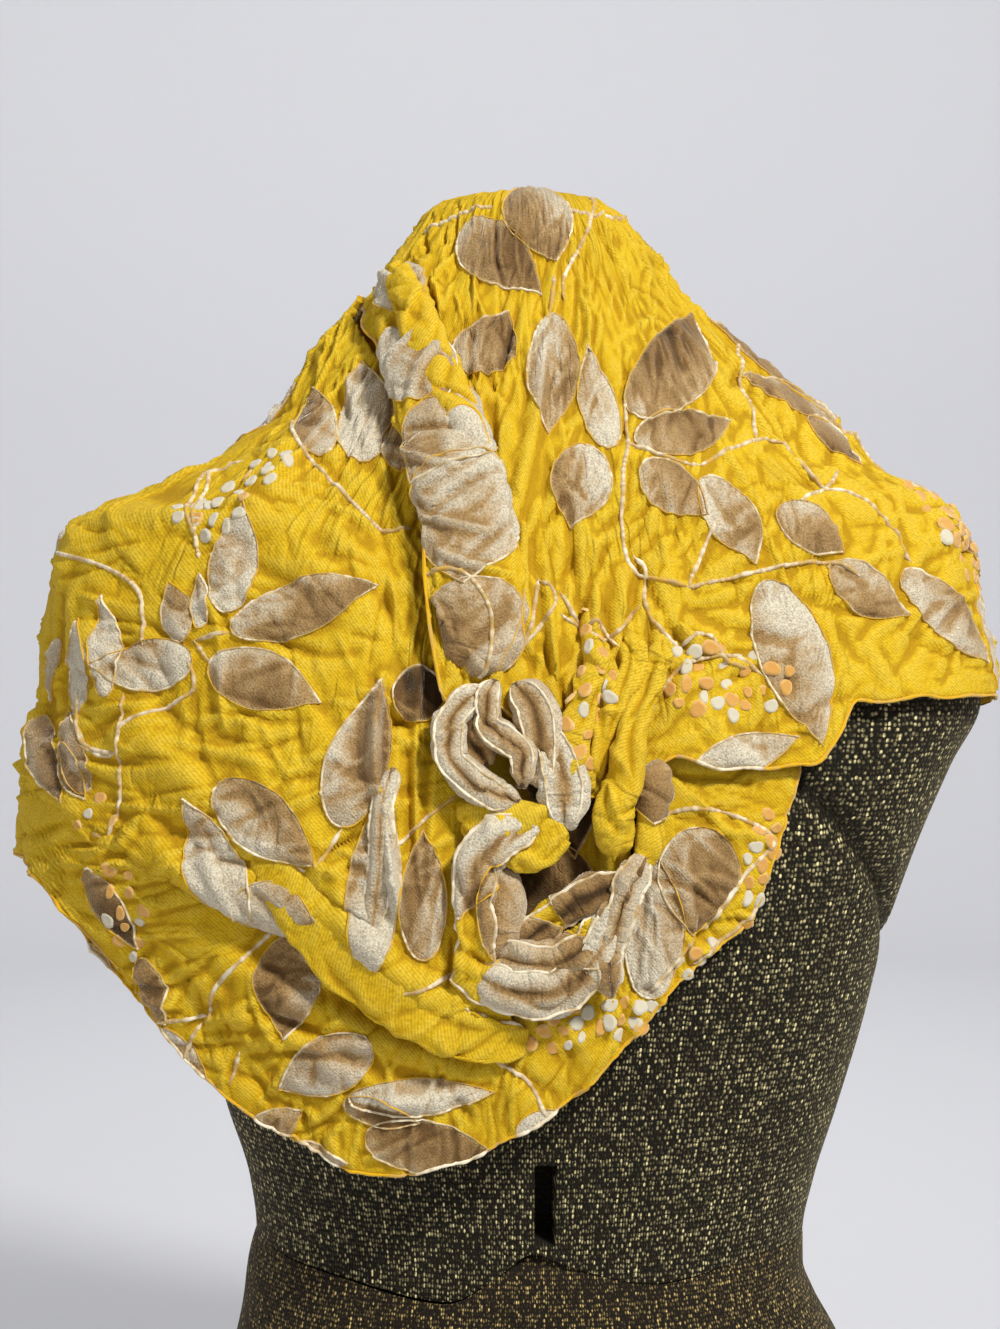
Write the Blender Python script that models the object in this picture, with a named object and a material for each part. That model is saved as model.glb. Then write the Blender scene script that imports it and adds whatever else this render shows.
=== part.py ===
"""A devore velvet scarf wound round the neck and shoulders of a limbless dress form.

Millimetres in the tables, metres in the meshes. The form stands on z = 0 and faces -Y.
A place on the cloth is a turn in degrees and a height: turn 0 is the viewer's right (+X),
90 the front, 180 the viewer's left and 270 the back. Every stretch of the scarf is laid on
one drape surface, lifted off it by a table of ribs and a table of folds.
"""

import math

import bpy
import numpy as np

MM = 0.001
CLOTH_WALL = 1.6          # thickness of the pile cloth with the air in its crinkles
MM_PER_DEGREE = 2.7       # of arc on the drape, which turns fold widths into millimetres

# The drape: horizontal sections of the outermost cloth. "at" is the height as it is counted
# down the cloth from the middle of the crown, "z" the true height of that section.
# at, z, left, right, front, back, squareness
DRAPE = (
    (762, 738, 0, 0, 0, 0, 2.0),
    (756, 738, 20, 15, 18, 18, 2.0),
    (748, 736, 40, 30, 35, 34, 2.0),
    (738, 731, 51, 41, 45, 44, 2.0),
    (725, 722, 58, 50, 52, 49, 2.0),
    (710, 708, 70, 62, 58, 53, 2.0),
    (690, 690, 84, 75, 66, 60, 2.0),
    (670, 670, 98, 97, 74, 66, 2.0),
    (650, 650, 112, 122, 83, 73, 2.0),
    (632, 632, 124, 144, 91, 80, 2.0),
    (618, 618, 143, 157, 98, 86, 2.05),
    (607, 607, 161, 168, 103, 90, 2.1),
    (596, 596, 182, 191, 108, 93, 2.15),
    (583, 583, 217, 206, 112, 96, 2.2),
    (565, 565, 227, 212, 118, 98, 2.2),
    (540, 540, 229, 215, 126, 101, 2.2),
    (505, 505, 230, 221, 134, 104, 2.2),
    (470, 470, 240, 220, 140, 106, 2.2),
    (430, 430, 244, 212, 142, 108, 2.2),
    (390, 390, 232, 200, 140, 109, 2.2),
    (350, 350, 214, 186, 136, 110, 2.2),
    (310, 310, 192, 172, 131, 110, 2.2),
    (270, 270, 172, 160, 127, 108, 2.2),
    (230, 230, 160, 150, 125, 106, 2.2),
)

# The padded form under the cloth, in the same columns. Neck, sloping shoulders, the capped
# arm ends at 500 to 560, bust at 430 and waist at 250.
TORSO = (
    (735.4, 735.4, 22, 15, 18, 18, 2.0),
    (731.6, 731.6, 37, 27, 31, 31, 2.0),
    (724, 724, 44, 35, 38, 38, 2.0),
    (712, 712, 46, 40, 42, 42, 2.0),
    (690, 690, 50, 46, 44, 44, 2.0),
    (662, 662, 60, 58, 47, 46, 2.0),
    (643, 643, 80, 80, 52, 50, 2.0),
    (627, 627, 108, 110, 58, 56, 2.0),
    (612, 612, 138, 142, 66, 62, 2.05),
    (598, 598, 166, 170, 74, 68, 2.1),
    (582, 582, 186, 190, 84, 74, 2.2),
    (560, 560, 196, 203, 96, 80, 2.3),
    (535, 535, 202, 210, 106, 86, 2.4),
    (500, 500, 204, 213, 116, 91, 2.4),
    (470, 470, 190, 199, 122, 94, 2.3),
    (430, 430, 176, 182, 125, 96, 2.2),
    (390, 390, 166, 168, 121, 96, 2.2),
    (350, 350, 155, 158, 113, 94, 2.2),
    (310, 310, 144, 146, 105, 92, 2.2),
    (275, 275, 133, 135, 98, 89, 2.2),
    (250, 250, 130, 130, 95, 87, 2.2),
    (225, 225, 130, 130, 95, 88, 2.2),
)
# Heights of the rings that the torso is lofted through, above the seam.
TORSO_RINGS = (
    *(290, 310, 330, 350, 375, 400, 430, 455, 480, 500),
    *(518, 535, 548, 560, 571, 582, 590, 598, 605, 612),
    *(620, 627, 635, 643, 652, 662, 675, 690, 703, 712),
    *(718, 724, 731.6, 735.4),
)
HIPS = (
    (262, 262, 124, 126, 90, 82, 2.2),
    (250, 250, 130, 130, 95, 87, 2.2),
    (235, 235, 134, 130, 98, 92, 2.2),
    (218, 218, 136, 136, 102, 100, 2.2),
    (198, 198, 140, 147, 107, 110, 2.2),
    (165, 165, 150, 160, 112, 120, 2.2),
    (120, 120, 162, 170, 114, 127, 2.2),
    (70, 70, 168, 172, 112, 126, 2.2),
    (20, 20, 164, 166, 108, 121, 2.2),
    (0, 0, 160, 162, 105, 118, 2.2),
)

# Where the upper cover of the form ends over the hip cover: two lobes at the front.
# turn, height
FORM_SEAM = (
    (-10, 252),
    (30, 253),
    (58, 247),
    (80, 256),
    (90, 262),
    (98, 253),
    (112, 240),
    (140, 247),
    (180, 252),
    (270, 256),
    (350, 252),
)
SEAM_GAP = 0.3
SLOT_LEFT, SLOT_RIGHT = 1.0, 10.0        # the adjusting slot at the front of the waist
SLOT_BOTTOM, SLOT_TOP = 266.0, 302.0
SLOT_DEPTH = 16.0
SLOT_FACE = -98.0                        # where the form's front lies at the slot
SLOT_CUT_START = -140.0                  # well clear in front of it
HIP_RINGS = (0, 20, 70, 120, 165, 198)
HIP_TOP_SHARES = (0.35, 0.7)             # of the way from the last of them to the seam
SMOOTH_UP_TO = 50                        # degrees between faces

COLOURS = {
    "form_knit": (0.030, 0.028, 0.020),
    "hip_knit": (0.060, 0.045, 0.032),
    "crepe": (0.780, 0.520, 0.030),
    "velvet": (0.380, 0.250, 0.110),
}


def smooth_columns(rows, at):
    """The later columns of a table at places along its first, by cubics that never overshoot."""
    table = np.array(sorted(rows), float)
    key, values = table[:, 0], table[:, 1:]
    step = np.diff(key)[:, None]
    slope = np.diff(values, axis=0) / step
    before, after = slope[:-1], slope[1:]
    w_before, w_after = 2 * step[1:] + step[:-1], step[1:] + 2 * step[:-1]
    agree = before * after > 0
    safe_before, safe_after = np.where(agree, before, 1), np.where(agree, after, 1)
    harmonic = (w_before + w_after) / (w_before / safe_before + w_after / safe_after)
    tangent = np.vstack([slope[:1], np.where(agree, harmonic, 0), slope[-1:]])
    at = np.clip(np.asarray(at, float), key[0], key[-1])
    i = np.clip(np.searchsorted(key, at, side="right") - 1, 0, len(key) - 2)
    length = step[i]
    t = ((at - key[i]) / length[..., 0])[..., None]
    return (
        values[i] * (1 + 2 * t) * (1 - t) ** 2
        + tangent[i] * length * t * (1 - t) ** 2
        + values[i + 1] * t * t * (3 - 2 * t)
        + tangent[i + 1] * length * t * t * (t - 1)
    )


def on_sections(sections, turn, at):
    """The point at a turn and height on a body given by horizontal sections."""
    turn, at = np.broadcast_arrays(np.asarray(turn, float), np.asarray(at, float))
    z, left, right, front, back, squareness = np.moveaxis(smooth_columns(sections, at), -1, 0)
    across, ahead = np.cos(np.radians(turn)), np.sin(np.radians(turn))
    side = np.maximum(np.where(across >= 0, right, left), 1e-6)
    depth = np.maximum(np.where(ahead >= 0, front, back), 1e-6)
    reach = (np.abs(across / side) ** squareness + np.abs(ahead / depth) ** squareness) ** (
        -1 / squareness
    )
    return np.stack([reach * across, -reach * ahead, z], -1)


def lifted(turn, at, lift):
    """A place on the drape, moved out of it along its own normal."""
    turn, at, lift = np.broadcast_arrays(turn, at, lift)
    highest = DRAPE[0][0] - 0.5
    at = np.minimum(at, highest)
    along = on_sections(DRAPE, turn + 0.5, at) - on_sections(DRAPE, turn - 0.5, at)
    down = on_sections(DRAPE, turn, np.minimum(at + 1, highest)) - on_sections(DRAPE, turn, at - 1)
    out = np.cross(down, along)
    out /= np.maximum(np.linalg.norm(out, axis=-1, keepdims=True), 1e-9)
    return on_sections(DRAPE, turn, at) + out * lift[..., None]


def fold_lift(turn, at, folds):
    """What a table of folds adds at a place: each is a soft ridge (or trough) along a line."""
    total = np.zeros(np.broadcast(turn, at).shape)
    for from_turn, from_at, to_turn, to_at, half_width, rise in folds:
        start = np.array([from_turn * MM_PER_DEGREE, from_at])
        run = np.array([to_turn * MM_PER_DEGREE, to_at]) - start
        place = np.stack(np.broadcast_arrays(turn * MM_PER_DEGREE, at), -1) - start
        share = np.clip((place @ run) / (run @ run), 0, 1)
        away = np.linalg.norm(place - share[..., None] * run, axis=-1) / half_width
        total += rise * np.clip(1 - away**2, 0, None) ** 2
    return total


def stretch_points(ribs, folds, along, across):
    """The outer face of a stretch, lofted through its ribs.

    A rib runs from (turn, height, lift) at one edge to (turn, height, lift) at the other, and
    its belly lifts the middle of it.
    """
    stations = [(i, *rib) for i, rib in enumerate(ribs)]
    u = np.linspace(0, len(ribs) - 1, along + 1)
    v = np.linspace(0, 1, across + 1)[None, :]
    turn_a, at_a, lift_a, turn_b, at_b, lift_b, belly = np.moveaxis(
        smooth_columns(stations, u), -1, 0
    )[..., None]
    turn = turn_a + (turn_b - turn_a) * v
    at = at_a + (at_b - at_a) * v
    lift = lift_a + (lift_b - lift_a) * v + belly * (1 - (2 * v - 1) ** 2)
    return lifted(turn, at, lift + fold_lift(turn, at, folds))


def grid_normals(points, closed):
    """Unit normals of a grid of points; a closed grid joins its last row to its first."""
    if closed:
        du = np.roll(points, -1, 0) - np.roll(points, 1, 0)
    else:
        du = np.gradient(points, axis=0)
    dv = np.gradient(points, axis=1)
    normal = np.cross(du, dv)
    normal /= np.maximum(np.linalg.norm(normal, axis=-1, keepdims=True), 1e-9)
    outward = points * (1, 1, 0) + (0, 0, 30)
    return normal if (normal * outward).sum() > 0 else -normal


def add_body(name, points, faces, colour, roughness):
    """A named object with its own material, from points in millimetres."""
    mesh = bpy.data.meshes.new(name)
    mesh.from_pydata([tuple(point * MM) for point in points], [], faces)
    mesh.validate()
    mesh.shade_smooth()
    mesh.set_sharp_from_angle(angle=math.radians(SMOOTH_UP_TO))
    body = bpy.data.objects.new(name, mesh)
    bpy.context.collection.objects.link(body)
    material = bpy.data.materials.new(name)
    material.use_nodes = True
    shader = material.node_tree.nodes["Principled BSDF"]
    shader.inputs["Base Color"].default_value = (*COLOURS[colour], 1)
    shader.inputs["Roughness"].default_value = roughness
    shader.inputs["Metallic"].default_value = 0
    mesh.materials.append(material)
    return body


def wall_faces(rows, columns, closed, crown):
    """Faces of a wall: an outer grid, an inner grid behind it and the edges that join them.

    With a crown, the first column of the grid is one point.
    """
    count = rows * columns
    faces = []

    def corner(i, j, inner):
        j_used = j if not (crown and j == 0) else 0
        i_used = 0 if (crown and j == 0) else i % rows
        return i_used * columns + j_used + (count if inner else 0)

    last = rows if closed else rows - 1
    for i in range(last):
        for j in range(columns - 1):
            ring = [(i, j), (i + 1, j), (i + 1, j + 1), (i, j + 1)]
            if crown and j == 0:
                ring = [(i, 0), (i + 1, 1), (i, 1)]
            faces.append([corner(a, b, False) for a, b in ring])
            faces.append([corner(a, b, True) for a, b in reversed(ring)])
    edges = [((i + 1, columns - 1), (i, columns - 1)) for i in range(last)]
    if not crown:
        edges += [((i, 0), (i + 1, 0)) for i in range(last)]
    if not closed:
        edges += [((0, j + 1), (0, j)) for j in range(columns - 1)]
        edges += [((rows - 1, j), (rows - 1, j + 1)) for j in range(columns - 1)]
    for one, other in edges:
        faces.append(
            [corner(*other, False), corner(*one, False), corner(*one, True), corner(*other, True)]
        )
    return faces


def cloth(name, points, colour="crepe", closed=False, crown=False):
    """A cloth wall whose outer face is the given grid, and whose inner face lies behind it."""
    rows, columns = points.shape[:2]
    normal = grid_normals(points, closed)
    if crown:
        normal[:, 0] = (0, 0, 1)
    behind = points - normal * CLOTH_WALL
    across = np.cross(points[1, 1] - points[0, 1], points[0, 2] - points[0, 1])
    faces = wall_faces(rows, columns, closed, crown)
    if across @ normal[0, 1] < 0:
        faces = [face[::-1] for face in faces]
    used = sorted({index for face in faces for index in face})
    place = {index: k for k, index in enumerate(used)}
    both = np.concatenate([points.reshape(-1, 3), behind.reshape(-1, 3)])[used]
    faces = [[place[index] for index in face] for face in faces]
    return add_body(name, both, faces, colour, 0.85)


# ---- The form ----


def seam_height(turn):
    """Height of the seam between the two covers of the form."""
    turned = (np.asarray(turn, float) + 10) % 360 - 10
    return smooth_columns(FORM_SEAM, turned)[..., 0]


def ring_body(name, rings, colour):
    """A closed body lofted through rings of points, its ends closed by fans."""
    count = rings.shape[1]
    points = [*rings.reshape(-1, 3)]
    faces = []
    for row in range(len(rings) - 1):
        for i in range(count):
            low, high = row * count, (row + 1) * count
            after = (i + 1) % count
            faces.append([low + i, high + i, high + after, low + after])
    for row, flip in ((0, False), (len(rings) - 1, True)):
        points.append(rings[row].mean(axis=0))
        for i in range(count):
            corner = [row * count + i, row * count + (i + 1) % count, len(points) - 1]
            faces.append(corner[::-1] if flip else corner)
    return add_body(name, points, faces, colour, 0.9)


def build_torso():
    """Bust, shoulders and neck, with the adjusting slot cut into the front of the waist."""
    turns = np.arange(0, 360, 9.0)
    seam = seam_height(turns) + SEAM_GAP / 2
    lowest = TORSO_RINGS[0]
    rings = [on_sections(TORSO, turns, seam), on_sections(TORSO, turns, (seam + lowest) / 2)]
    rings += [on_sections(TORSO, turns, np.full(turns.shape, height)) for height in TORSO_RINGS]
    torso = ring_body("form_torso", np.array(rings), "form_knit")
    low = np.array([SLOT_LEFT, SLOT_CUT_START, SLOT_BOTTOM])
    high = np.array([SLOT_RIGHT, SLOT_FACE + SLOT_DEPTH, SLOT_TOP])
    bpy.ops.mesh.primitive_cube_add(size=1, location=(low + high) / 2 * MM)
    cutter = bpy.context.object
    cutter.name = "slot_cutter"
    cutter.scale = (high - low) * MM
    cutter.hide_render = True
    cutter.display_type = "WIRE"
    cut = torso.modifiers.new("slot", "BOOLEAN")
    cut.object = cutter
    cut.operation = "DIFFERENCE"


def build_hips():
    """The hip cover, whose top edge follows the two lobes of the cover above it."""
    turns = np.arange(0, 360, 9.0)
    seam = seam_height(turns) - SEAM_GAP / 2
    rings = [on_sections(HIPS, turns, np.full(turns.shape, height)) for height in HIP_RINGS]
    last = HIP_RINGS[-1]
    rings += [on_sections(HIPS, turns, last + (seam - last) * share) for share in HIP_TOP_SHARES]
    rings.append(on_sections(TORSO, turns, seam))
    ring_body("form_hips", np.array(rings), "hip_knit")


# ---- The scarf ----

# Lower edge of the stretch that covers the crown of the form, its neck and the right shoulder.
# turn, height of the edge, lift of the edge
SHOULDER_EDGE = (
    (-78, 640, -3),
    (-70, 560, -4),
    (-62, 500, -4),
    (-45, 478, -3),
    (-20, 490, -1),
    (0, 499, 0),
    (17, 503, 0),
    (30, 502, -2),
    (38, 502, -3),
    (41, 490, -4),
    (46, 474, -6),
    (56, 474, -7),
    (66, 478, -6),
    (72, 470, -4),
    (80, 462, -4),
    (86, 470, -3),
    (92, 490, 0),
    (97, 500, 3),
    (105, 501, 5),
    (108, 526, 5),
    (111, 559, 5),
    (113, 592, 5),
    (118, 612, 4),
    (126, 634, 2),
    (140, 660, 0),
    (150, 672, -1),
    (160, 684, -4),
    (180, 690, -6),
    (220, 690, -5),
    (255, 678, -4),
    (282, 640, -3),
)
SHOULDER_FOLDS = (
    # from turn, height, to turn, height, half width, rise
    (96, 690, 94, 610, 14, 4),
    (88, 660, 92, 560, 9, 3),
    (60, 640, 84, 560, 16, 4),
    (30, 600, 70, 540, 18, 4),
    (40, 560, 74, 520, 14, -3),
    (84, 560, 84, 490, 8, 4),
    (76, 560, 76, 480, 8, -4),
    (69, 560, 68, 490, 9, 5),
    (10, 590, 20, 510, 20, 3),
    (-20, 600, -15, 500, 20, -2),
    (-50, 620, -50, 490, 20, 3),
)

# turn, height and lift at the top edge, the same at the lower edge, belly
LEFT_COWL_RIBS = (
    (113, 602, -10, 93, 360, -6, 0),
    (120, 624, -9, 105, 366, 3, 1),
    (131, 645, -7, 114, 383, 5, 1),
    (146, 664, -4, 123, 400, 3, 1),
    (162, 680, -1, 133, 408, 1, 0),
    (180, 694, 0, 145, 430, 0, 0),
    (200, 695, 1, 160, 452, 0, 0),
    (222, 693, 1, 185, 462, 0, 0),
    (245, 686, 2, 215, 460, 0, 1),
    (262, 672, 2, 245, 458, 1, 2),
    (280, 642, 3, 275, 466, 2, 2),
    (300, 600, 4, 302, 482, 3, 1),
)
LEFT_COWL_FOLDS = (
    (168, 560, 120, 420, 18, 5),
    (175, 520, 140, 440, 14, -3),
    (150, 620, 112, 520, 16, 5),
    (140, 560, 108, 440, 14, -3),
    (158, 600, 125, 540, 12, -3),
    (128, 470, 108, 380, 12, 5),
    (190, 600, 165, 470, 22, 4),
    (215, 640, 205, 480, 22, 4),
    (240, 640, 235, 480, 20, -3),
    (262, 630, 262, 490, 22, 5),
    (284, 600, 286, 490, 16, -2),
)

HEM_SWAG_RIBS = (
    (68, 484, -14, 45, 484, -12, 0),
    (72, 444, -12.5, 50, 440, -12, 0),
    (76, 415, -12.5, 54, 407, -12, 1),
    (81, 398, -12.5, 63, 389, -10, 2),
    (88, 388, -13, 72, 363, -8, 3),
    (97, 386, -13, 88, 326, -5, 3),
    (106, 392, -13, 101, 311, -3, 3),
    (115, 404, -13, 115, 304, 0, 3),
    (125, 418, -13, 127, 312, 0, 4),
    (136, 430, -11, 136, 324, 0, 4),
    (147, 446, -9, 145, 350, 0, 3),
    (158, 462, -9, 153, 385, 0, 2),
    (172, 474, -9, 165, 425, -1, 1),
    (190, 480, -8, 190, 430, -2, 1),
    (215, 480, -7, 215, 425, -3, 1),
    (245, 480, -6, 245, 422, -3, 1),
    (275, 484, -6, 275, 430, -3, 1),
    (300, 494, -7, 300, 452, -3, 1),
)
HEM_SWAG_FOLDS = (
    (140, 400, 100, 345, 12, 5),
    (134, 370, 104, 328, 10, 4),
    (150, 410, 128, 330, 12, -3),
    (120, 395, 95, 362, 9, -3),
    (210, 470, 208, 430, 14, 3),
    (255, 470, 256, 430, 16, 3),
)

UNDER_LAYER_RIBS = (
    (128, 340, -8, 129, 309, -6, 0),
    (140, 366, -9, 139, 327, -6, 0),
    (152, 400, -11, 148, 352, -6, 1),
    (163, 436, -13, 157, 388, -6, 1),
    (178, 452, -13, 168, 418, -6, 1),
    (198, 454, -11, 195, 418, -6.7, 1),
    (220, 450, -10, 220, 414, -6.7, 1),
)

FOLD_COLUMN_RIBS = (
    (168, 716, 1, 142, 722, 2, 5),
    (150, 690, 4, 132, 698, 3, 6),
    (137, 662, 5, 119, 664, 4, 6),
    (126, 634, 6, 109, 636, 5, 6),
    (118, 612, 7, 100, 613, 6, 5),
    (113, 590, 7, 97, 592, 6, 4),
    (111, 568, 6, 97, 566, 6, 3),
)
SWIRL_RIBS = (
    (96, 507, 4.6, 88, 500, 0.6, 4),
    (101, 498, 5.6, 91, 490, 2.6, 7),
    (104, 487, 6, 93, 484, 5, 8),
    (102, 474, 5, 90, 478, 5, 8),
    (97, 464, 4, 87, 474, 3, 6),
)
THROAT_RIBS = (
    (110, 590, -14, 100, 590, -12, 0),
    (112, 540, -14, 98, 540, -12, 0),
    (112, 500, -14, 84, 496, -12, 0),
    (111, 460, -14, 74, 456, -14.5, 0),
    (108, 420, -14, 73, 420, -14.9, 0),
    (104, 396, -14.4, 78, 396, -14.8, 0),
)
RING_ROLL_RIBS = (
    (92, 452, -3, 91, 438, -5, 7),
    (98, 451, -2, 94, 436, -4, 10),
    (102, 438, -1, 96, 430, -3, 12),
    (103, 420, 0, 97, 420, -3, 13),
    (101, 400, 0, 95, 410, -3, 13),
    (97, 386, 0, 92, 402, -3, 13),
    (90, 378, 0, 88, 399, -3, 13),
    (82, 381, 0, 82, 402, -3, 13),
    (75, 392, -1, 78, 410, -3, 12),
    (71, 410, -2, 76, 420, -3, 11),
    (70, 430, -3, 75, 434, -5, 8),
)
# Three narrow folds that run down from the gather into the middle of the ring.
TUCKED_FOLD_RIBS = (
    (
        (81, 520, 0.4, 77, 516, -1.6, 4),
        (83, 490, 0.4, 79, 488, -1.6, 5),
        (83, 468, 0, 79, 466, -1, 5),
        (82, 446, -6, 78, 446, -7, 4),
    ),
    (
        (75, 505, 0, 71, 505, 0, 4),
        (77, 480, 0.5, 73, 480, 0, 5),
        (78, 458, -1, 74, 456, -2, 5),
        (79, 440, -5, 75, 438, -6, 4),
    ),
    (
        (70, 478, -2.2, 65, 480, -4.2, 4),
        (72, 462, -1.5, 67, 462, -3, 5),
        (73, 446, -1, 69, 444, -3, 4),
        (74, 432, -4, 71, 430, -6, 3),
    ),
)


def shoulder_points():
    """Crown, neck and right shoulder: a ring whose lower edge rises and falls with the turn."""
    turns = np.linspace(-78, 282, 49)[:-1]
    edge_at, edge_lift = np.moveaxis(smooth_columns(SHOULDER_EDGE, turns), -1, 0)
    crown_at, steps = DRAPE[0][0], 14
    share = (np.arange(steps + 1) / steps) ** 1.4
    share = share[None, :]
    at = crown_at + (edge_at[:, None] - crown_at) * share
    lift = edge_lift[:, None] * share**2
    turn = turns[:, None] + np.zeros(at.shape)
    return lifted(turn, at, lift + fold_lift(turn, at, SHOULDER_FOLDS))


def build_scarf():
    cloth("scarf_neck_and_shoulder", shoulder_points(), closed=True, crown=True)
    cloth("scarf_left_cowl", stretch_points(LEFT_COWL_RIBS, LEFT_COWL_FOLDS, 26, 12))
    cloth("scarf_hem_swag", stretch_points(HEM_SWAG_RIBS, HEM_SWAG_FOLDS, 34, 7))
    cloth("scarf_under_layer", stretch_points(UNDER_LAYER_RIBS, (), 14, 3))
    cloth("scarf_fold_column", stretch_points(FOLD_COLUMN_RIBS, (), 16, 5), "velvet")
    cloth("scarf_swirl", stretch_points(SWIRL_RIBS, (), 10, 5), "velvet")
    cloth("scarf_throat", stretch_points(THROAT_RIBS, (), 12, 5))
    cloth("scarf_ring_roll", stretch_points(RING_ROLL_RIBS, (), 20, 5), "velvet")
    for number, ribs in enumerate(TUCKED_FOLD_RIBS, 1):
        cloth(f"scarf_tucked_fold_{number}", stretch_points(ribs, (), 9, 4))


for old in list(bpy.data.objects):
    bpy.data.objects.remove(old)
build_torso()
build_hips()
build_scarf()
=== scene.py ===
"""Looks of a devore velvet scarf wound round a limbless dress form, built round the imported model.

Metres, +Z up; the form faces -Y. Tables are in millimetres and degrees. A place on the cloth
is a turn (0 the viewer's right, 90 the front, 180 the left, 270 the back) and a height.
"""

import math

import bpy
import numpy as np
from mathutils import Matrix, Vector, kdtree


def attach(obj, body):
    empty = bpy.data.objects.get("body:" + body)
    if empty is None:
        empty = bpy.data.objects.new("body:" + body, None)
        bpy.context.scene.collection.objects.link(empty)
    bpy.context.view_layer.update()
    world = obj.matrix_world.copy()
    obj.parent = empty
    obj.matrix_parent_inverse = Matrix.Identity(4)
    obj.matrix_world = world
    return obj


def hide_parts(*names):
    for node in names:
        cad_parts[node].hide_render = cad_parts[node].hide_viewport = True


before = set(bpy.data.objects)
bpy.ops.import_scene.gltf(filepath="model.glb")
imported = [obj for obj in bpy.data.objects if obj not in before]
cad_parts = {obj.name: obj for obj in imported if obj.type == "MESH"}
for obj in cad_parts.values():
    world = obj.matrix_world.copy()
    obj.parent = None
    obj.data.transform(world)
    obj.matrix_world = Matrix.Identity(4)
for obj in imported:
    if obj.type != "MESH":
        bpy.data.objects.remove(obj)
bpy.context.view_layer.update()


# ---- Studio ----
# A plain pale floor of paper whose rim sweeps up into a wall. One soft light stands in front,
# above and to the right, a weaker one to the left, and a third one lights the wall. The camera
# is level with the chest of the form.

MM = 0.001
PHOTO_HEIGHT = 1329                      # pixels
MM_PER_PIXEL = 0.48                      # in the photo, in the plane of the form's middle
CAMERA = Vector((-0.014, -0.950, 0.5166))
PAPER = "#d3d3d6"


def colour(code):
    """An sRGB hex colour as linear red, green, blue and alpha."""
    parts = [int(code[i : i + 2], 16) / 255 for i in (1, 3, 5)]
    return (*(p / 12.92 if p <= 0.04045 else ((p + 0.055) / 1.055) ** 2.4 for p in parts), 1)


def add(tree, kind, settings, inputs):
    """Adds a node with its settings; an input is another node, one of its sockets or a value."""
    made = tree.nodes.new("ShaderNode" + kind)
    for name, value in settings.items():
        setattr(made, name, value)
    for place, value in inputs.items():
        if isinstance(value, bpy.types.Node):
            value = next(socket for socket in value.outputs if socket.enabled)
        if isinstance(value, bpy.types.NodeSocket):
            tree.links.new(value, made.inputs[place])
        else:
            made.inputs[place].default_value = value
    return made


def new_material(name):
    """An empty node material, its tree and its output."""
    made = bpy.data.materials.new(name)
    made.use_nodes = True
    made.node_tree.nodes.clear()
    return made, made.node_tree, made.node_tree.nodes.new("ShaderNodeOutputMaterial")


def paper_bowl():
    """The floor: a wide round of paper whose rim is bent up into a low wall all round."""
    flat_radius, bend, top, sides = 2.6, 1.1, 3.2, 96
    profile = [(0.01, 0.0), (0.8, 0.0), (1.6, 0.0), (flat_radius, 0.0)]
    for step in range(1, 17):
        angle = math.pi / 2 * step / 16
        profile.append((flat_radius + bend * math.sin(angle), bend - bend * math.cos(angle)))
    profile.append((flat_radius + bend, top))
    turns = [2 * math.pi * k / sides for k in range(sides)]
    points = [(r * math.cos(turn), r * math.sin(turn), z) for r, z in profile for turn in turns]
    faces = [
        (i * sides + k, i * sides + (k + 1) % sides, (i + 1) * sides + (k + 1) % sides, (i + 1) * sides + k)
        for i in range(len(profile) - 1)
        for k in range(sides)
    ]
    faces.append(tuple(range(sides)))
    mesh = bpy.data.meshes.new("studio_paper")
    mesh.from_pydata(points, [], faces)
    mesh.shade_smooth()
    paper = bpy.data.objects.new("studio_paper", mesh)
    bpy.context.collection.objects.link(paper)
    material, tree, out = new_material("matt_background_paper")
    matt = add(tree, "BsdfPrincipled", {}, {"Base Color": colour(PAPER), "Roughness": 0.9})
    tree.links.new(matt.outputs[0], out.inputs[0])
    mesh.materials.append(material)


def soft_light(name, place, aim, size, watts):
    """A round softbox at a place, turned to what it lights."""
    light = bpy.data.lights.new(name, "AREA")
    light.shape = "DISK"
    light.size = size
    light.energy = watts
    lamp = bpy.data.objects.new(name, light)
    lamp.location = place
    lamp.rotation_euler = (Vector(aim) - Vector(place)).to_track_quat("-Z", "Y").to_euler()
    bpy.context.collection.objects.link(lamp)


paper_bowl()
soft_light("key_softbox", (0.95, -1.45, 1.95), (0, 0, 0.5), 0.35, 56)
soft_light("fill_softbox", (-1.5, -1.4, 0.9), (0, 0, 0.45), 1.4, 7)
soft_light("wall_softbox", (0.0, 0.9, 2.6), (0, 3.6, 0.9), 1.6, 50)

world = bpy.data.worlds.new("studio")
world.use_nodes = True
world.node_tree.nodes["Background"].inputs[0].default_value = colour("#e9ebf0")
world.node_tree.nodes["Background"].inputs[1].default_value = 0.32
bpy.context.scene.world = world
bpy.context.scene.view_settings.view_transform = "Standard"

lens = bpy.data.cameras.new("camera")
lens.sensor_fit = "VERTICAL"
lens.sensor_height = 36
lens.sensor_width = 36
lens.lens = 36 * abs(CAMERA.y) / (PHOTO_HEIGHT * MM_PER_PIXEL * MM)
camera = bpy.data.objects.new("camera", lens)
camera.location = CAMERA
camera.rotation_euler = (math.pi / 2, 0, 0)
bpy.context.collection.objects.link(camera)
bpy.context.scene.camera = camera


# ---- Upper cover of the form ----
# A padded torso with no limbs, covered in black rib knit with a cream-gold metallic yarn in it.
# The capped arm ends are sewn in, so a seam sinks round each; a slot at the waist takes the key.

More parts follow.
